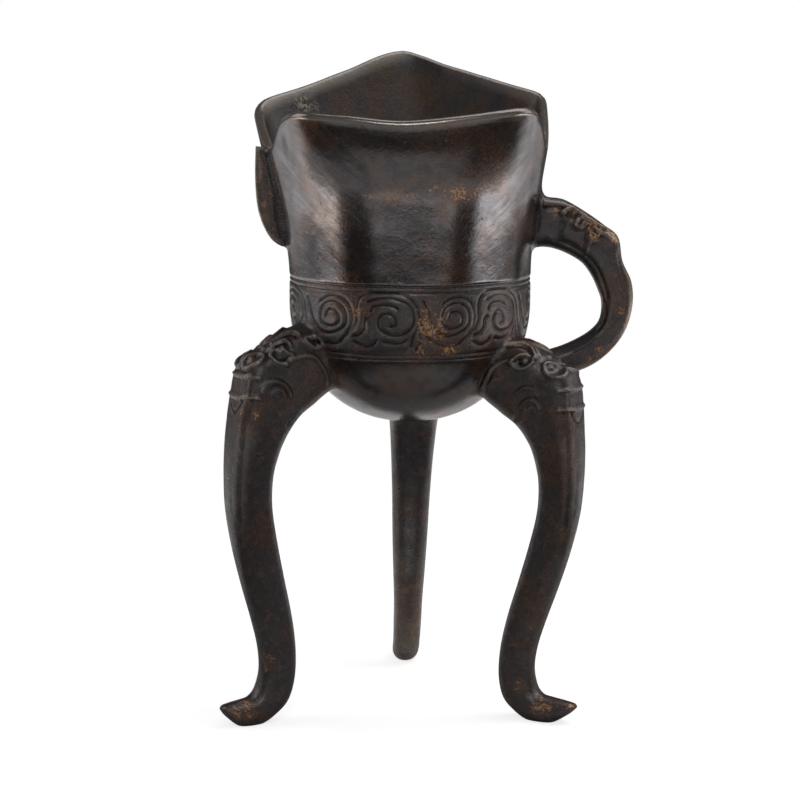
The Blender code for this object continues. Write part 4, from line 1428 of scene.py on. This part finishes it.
class JUE_OT_set_stage(bpy.types.Operator):
    """Set the pale floor, the studio lights and the camera"""

    bl_idname = "jue.set_stage"
    bl_label = "Set Stage"

    def execute(self, context):
        """Make the floor, lights, world and camera round the cup."""
        scene = context.scene
        settings = scene.stage_settings
        axis = bowl_axis()
        make_floor(scene, settings, axis)
        make_world(scene)
        for name, place, target, size, power in LIGHTS:
            make_light(scene, name, axis + Vector(place), axis + Vector(target), size, power)
        camera = bpy.data.cameras.new("camera")
        camera.lens = settings.lens
        camera.sensor_width = 36.0
        camera.clip_start, camera.clip_end = 0.01, 50.0
        viewer = bpy.data.objects.new("camera", camera)
        viewer.location = axis + Vector(settings.camera_from_axis)
        viewer.rotation_euler = (settings.camera_tilt, 0.0, settings.camera_turn)
        scene.collection.objects.link(viewer)
        scene.camera = viewer
        scene.view_settings.view_transform = "Standard"
        return {"FINISHED"}


def make_light(scene, name, place, target, size, power):
    """One rectangular softbox."""
    light = bpy.data.lights.new(name, "AREA")
    light.shape = "RECTANGLE"
    light.size, light.size_y = size
    light.energy = power
    lamp = bpy.data.objects.new(name, light)
    lamp.location = place
    lamp.rotation_euler = (target - place).to_track_quat("-Z", "Y").to_euler()
    scene.collection.objects.link(lamp)


def make_floor(scene, settings, axis):
    """Round table top, plain and pale to the eye; in the cup's reflections it shows a painted shadow ring
    round the cup's foot and glows at the back as painted light.
    """
    work = bmesh.new()
    bmesh.ops.create_circle(work, cap_ends=True, segments=96, radius=settings.floor_radius)
    bmesh.ops.translate(work, verts=work.verts, vec=axis)
    mesh = bpy.data.meshes.new("floor")
    work.to_mesh(mesh)
    work.free()
    floor = bpy.data.objects.new("floor", mesh)
    scene.collection.objects.link(floor)
    material = bpy.data.materials.new("pale_floor")
    material.use_nodes = True
    tree = material.node_tree
    shader = tree.nodes["Principled BSDF"]
    seen = add(tree, "ShaderNodeLightPath").outputs["Is Camera Ray"]
    coords = add(tree, "ShaderNodeTexCoord").outputs["Object"]
    parts = add(tree, "ShaderNodeSeparateXYZ", {"Vector": coords}).outputs
    oval = add(tree, "ShaderNodeVectorMath", {0: coords, 1: (1.0, 0.93, 1.0)}, operation="MULTIPLY")
    away = add(tree, "ShaderNodeVectorMath", {0: oval.outputs["Vector"]}, operation="LENGTH")
    right = larger(tree, parts["X"], 0.0)
    away = sums(tree, "SUBTRACT", away.outputs["Value"], product(tree, right, 0.08))
    # painted shadow for the cup's reflections: a dark ring round the cup's foot, paler further out and
    # pushed out on the right
    painted_shadow_rings = larger(tree, spread(tree, away, 0.08, 0.12, 0.50, 0.05),
                 spread(tree, away, 0.205, 0.245, 0.0, 0.86))
    # painted light: at the back of the cup the floor glows for the cup's reflections and lights its
    # underside
    painted_glow_behind = spread(tree, parts["Y"], 0.02, 0.07, 0.0, 0.6)
    tone = mix(tree, seen, painted_shadow_rings, settings.floor_color)
    tree.links.new(tone, shader.inputs["Base Color"])
    glow = larger(tree, product(tree, seen, settings.floor_glow), painted_glow_behind)
    tree.links.new(glow, shader.inputs["Emission Strength"])
    shader.inputs["Roughness"].default_value = 0.9
    shader.inputs["Specular IOR Level"].default_value = 0.0
    shader.inputs["Emission Color"].default_value = WHITE
    mesh.materials.append(material)


def make_world(scene):
    """White tent for the cup to mirror, open and dark towards the front, plain white to the eye."""
    world = bpy.data.worlds.new("studio")
    world.use_nodes = True
    tree = world.node_tree
    background = tree.nodes["Background"]
    coords = add(tree, "ShaderNodeTexCoord").outputs["Generated"]
    parts = add(tree, "ShaderNodeSeparateXYZ", {"Vector": coords}).outputs
    across = sums(tree, "ABSOLUTE", parts["X"], 0.0)
    aslant = sums(tree, "ADD", parts["Y"], product(tree, parts["X"], 0.08))
    walls = spread(tree, aslant, -0.46, -0.34, 0.0, 1.0)
    back = spread(tree, parts["Y"], -0.10, 0.70, 1.0, 0.3)
    back = larger(tree, back, spread(tree, parts["Z"], -0.03, 0.04))
    low = spread(tree, parts["Z"], -0.24, -0.19, 2.7, 0.22)
    low = larger(tree, low, spread(tree, parts["Y"], 0.25, 0.55, 0.0, 1.9))
    low = sums(tree, "MINIMUM", low, spread(tree, parts["Z"], -0.16, -0.12, 2.7, 0.2))
    walls = product(tree, walls, product(tree, back, low))
    window = spread(tree, across, 0.50, 0.60, 0.72, 0.0)
    sill = spread(tree, parts["Z"], -0.33, -0.30, 0.1, 1.0)
    lintel = spread(tree, parts["Z"], -0.215, -0.185, 1.1, 0.03)
    window = product(tree, window, product(tree, sill, lintel))
    ground = spread(tree, parts["Z"], -0.37, -0.33, 0.38, 0.0)
    canopy = product(tree, spread(tree, parts["Y"], -0.60, -0.50, 1.0, 0.0),
                     spread(tree, parts["Z"], -0.06, 0.06, 0.0, 0.32))
    light = larger(tree, larger(tree, walls, window), larger(tree, ground, canopy))
    light = larger(tree, light, 0.008)
    light = product(tree, light, spread(tree, parts["Z"], 0.05, 0.30, 1.0, 0.25))
    seen = add(tree, "ShaderNodeLightPath").outputs["Is Camera Ray"]
    light = larger(tree, light, seen)
    background.inputs["Color"].default_value = WHITE
    tree.links.new(light, background.inputs["Strength"])
    scene.world = world


class JUE_PT_wine_cup(bpy.types.Panel):
    """Sizes, finish and stage of the wine cup."""

    bl_idname = "JUE_PT_wine_cup"
    bl_label = "Wine Cup"
    bl_space_type = "VIEW_3D"
    bl_region_type = "UI"
    bl_category = "Wine Cup"

    def draw(self, context):
        """List the settings and the operators."""
        layout = self.layout
        for group in SETTINGS:
            settings = getattr(context.scene, group)
            box = layout.box()
            for name in settings.bl_rna.properties.keys():
                if name not in {"rna_type", "name"}:
                    box.prop(settings, name)
        for operator in (JUE_OT_cast_cup, JUE_OT_set_stage):
            layout.operator(operator.bl_idname)


SETTINGS = {
    "cup_sizes": CupSizes,
    "relief_sizes": ReliefSizes,
    "bronze_finish": BronzeFinish,
    "stage_settings": StageSettings,
}
CLASSES = tuple(SETTINGS.values()) + (JUE_OT_cast_cup, JUE_OT_set_stage, JUE_PT_wine_cup)


def register():
    """Register the classes and put the settings on the scene."""
    for item in CLASSES:
        bpy.utils.register_class(item)
    for name, group in SETTINGS.items():
        setattr(bpy.types.Scene, name, PointerProperty(type=group))


def unregister():
    """Take the settings and classes away again."""
    for name in SETTINGS:
        delattr(bpy.types.Scene, name)
    for item in reversed(CLASSES):
        bpy.utils.unregister_class(item)


def main():
    """Make the cup and its stage."""
    register()
    bpy.ops.jue.cast_cup()
    bpy.ops.jue.set_stage()
    bpy.context.view_layer.update()


if __name__ == "__main__":
    main()
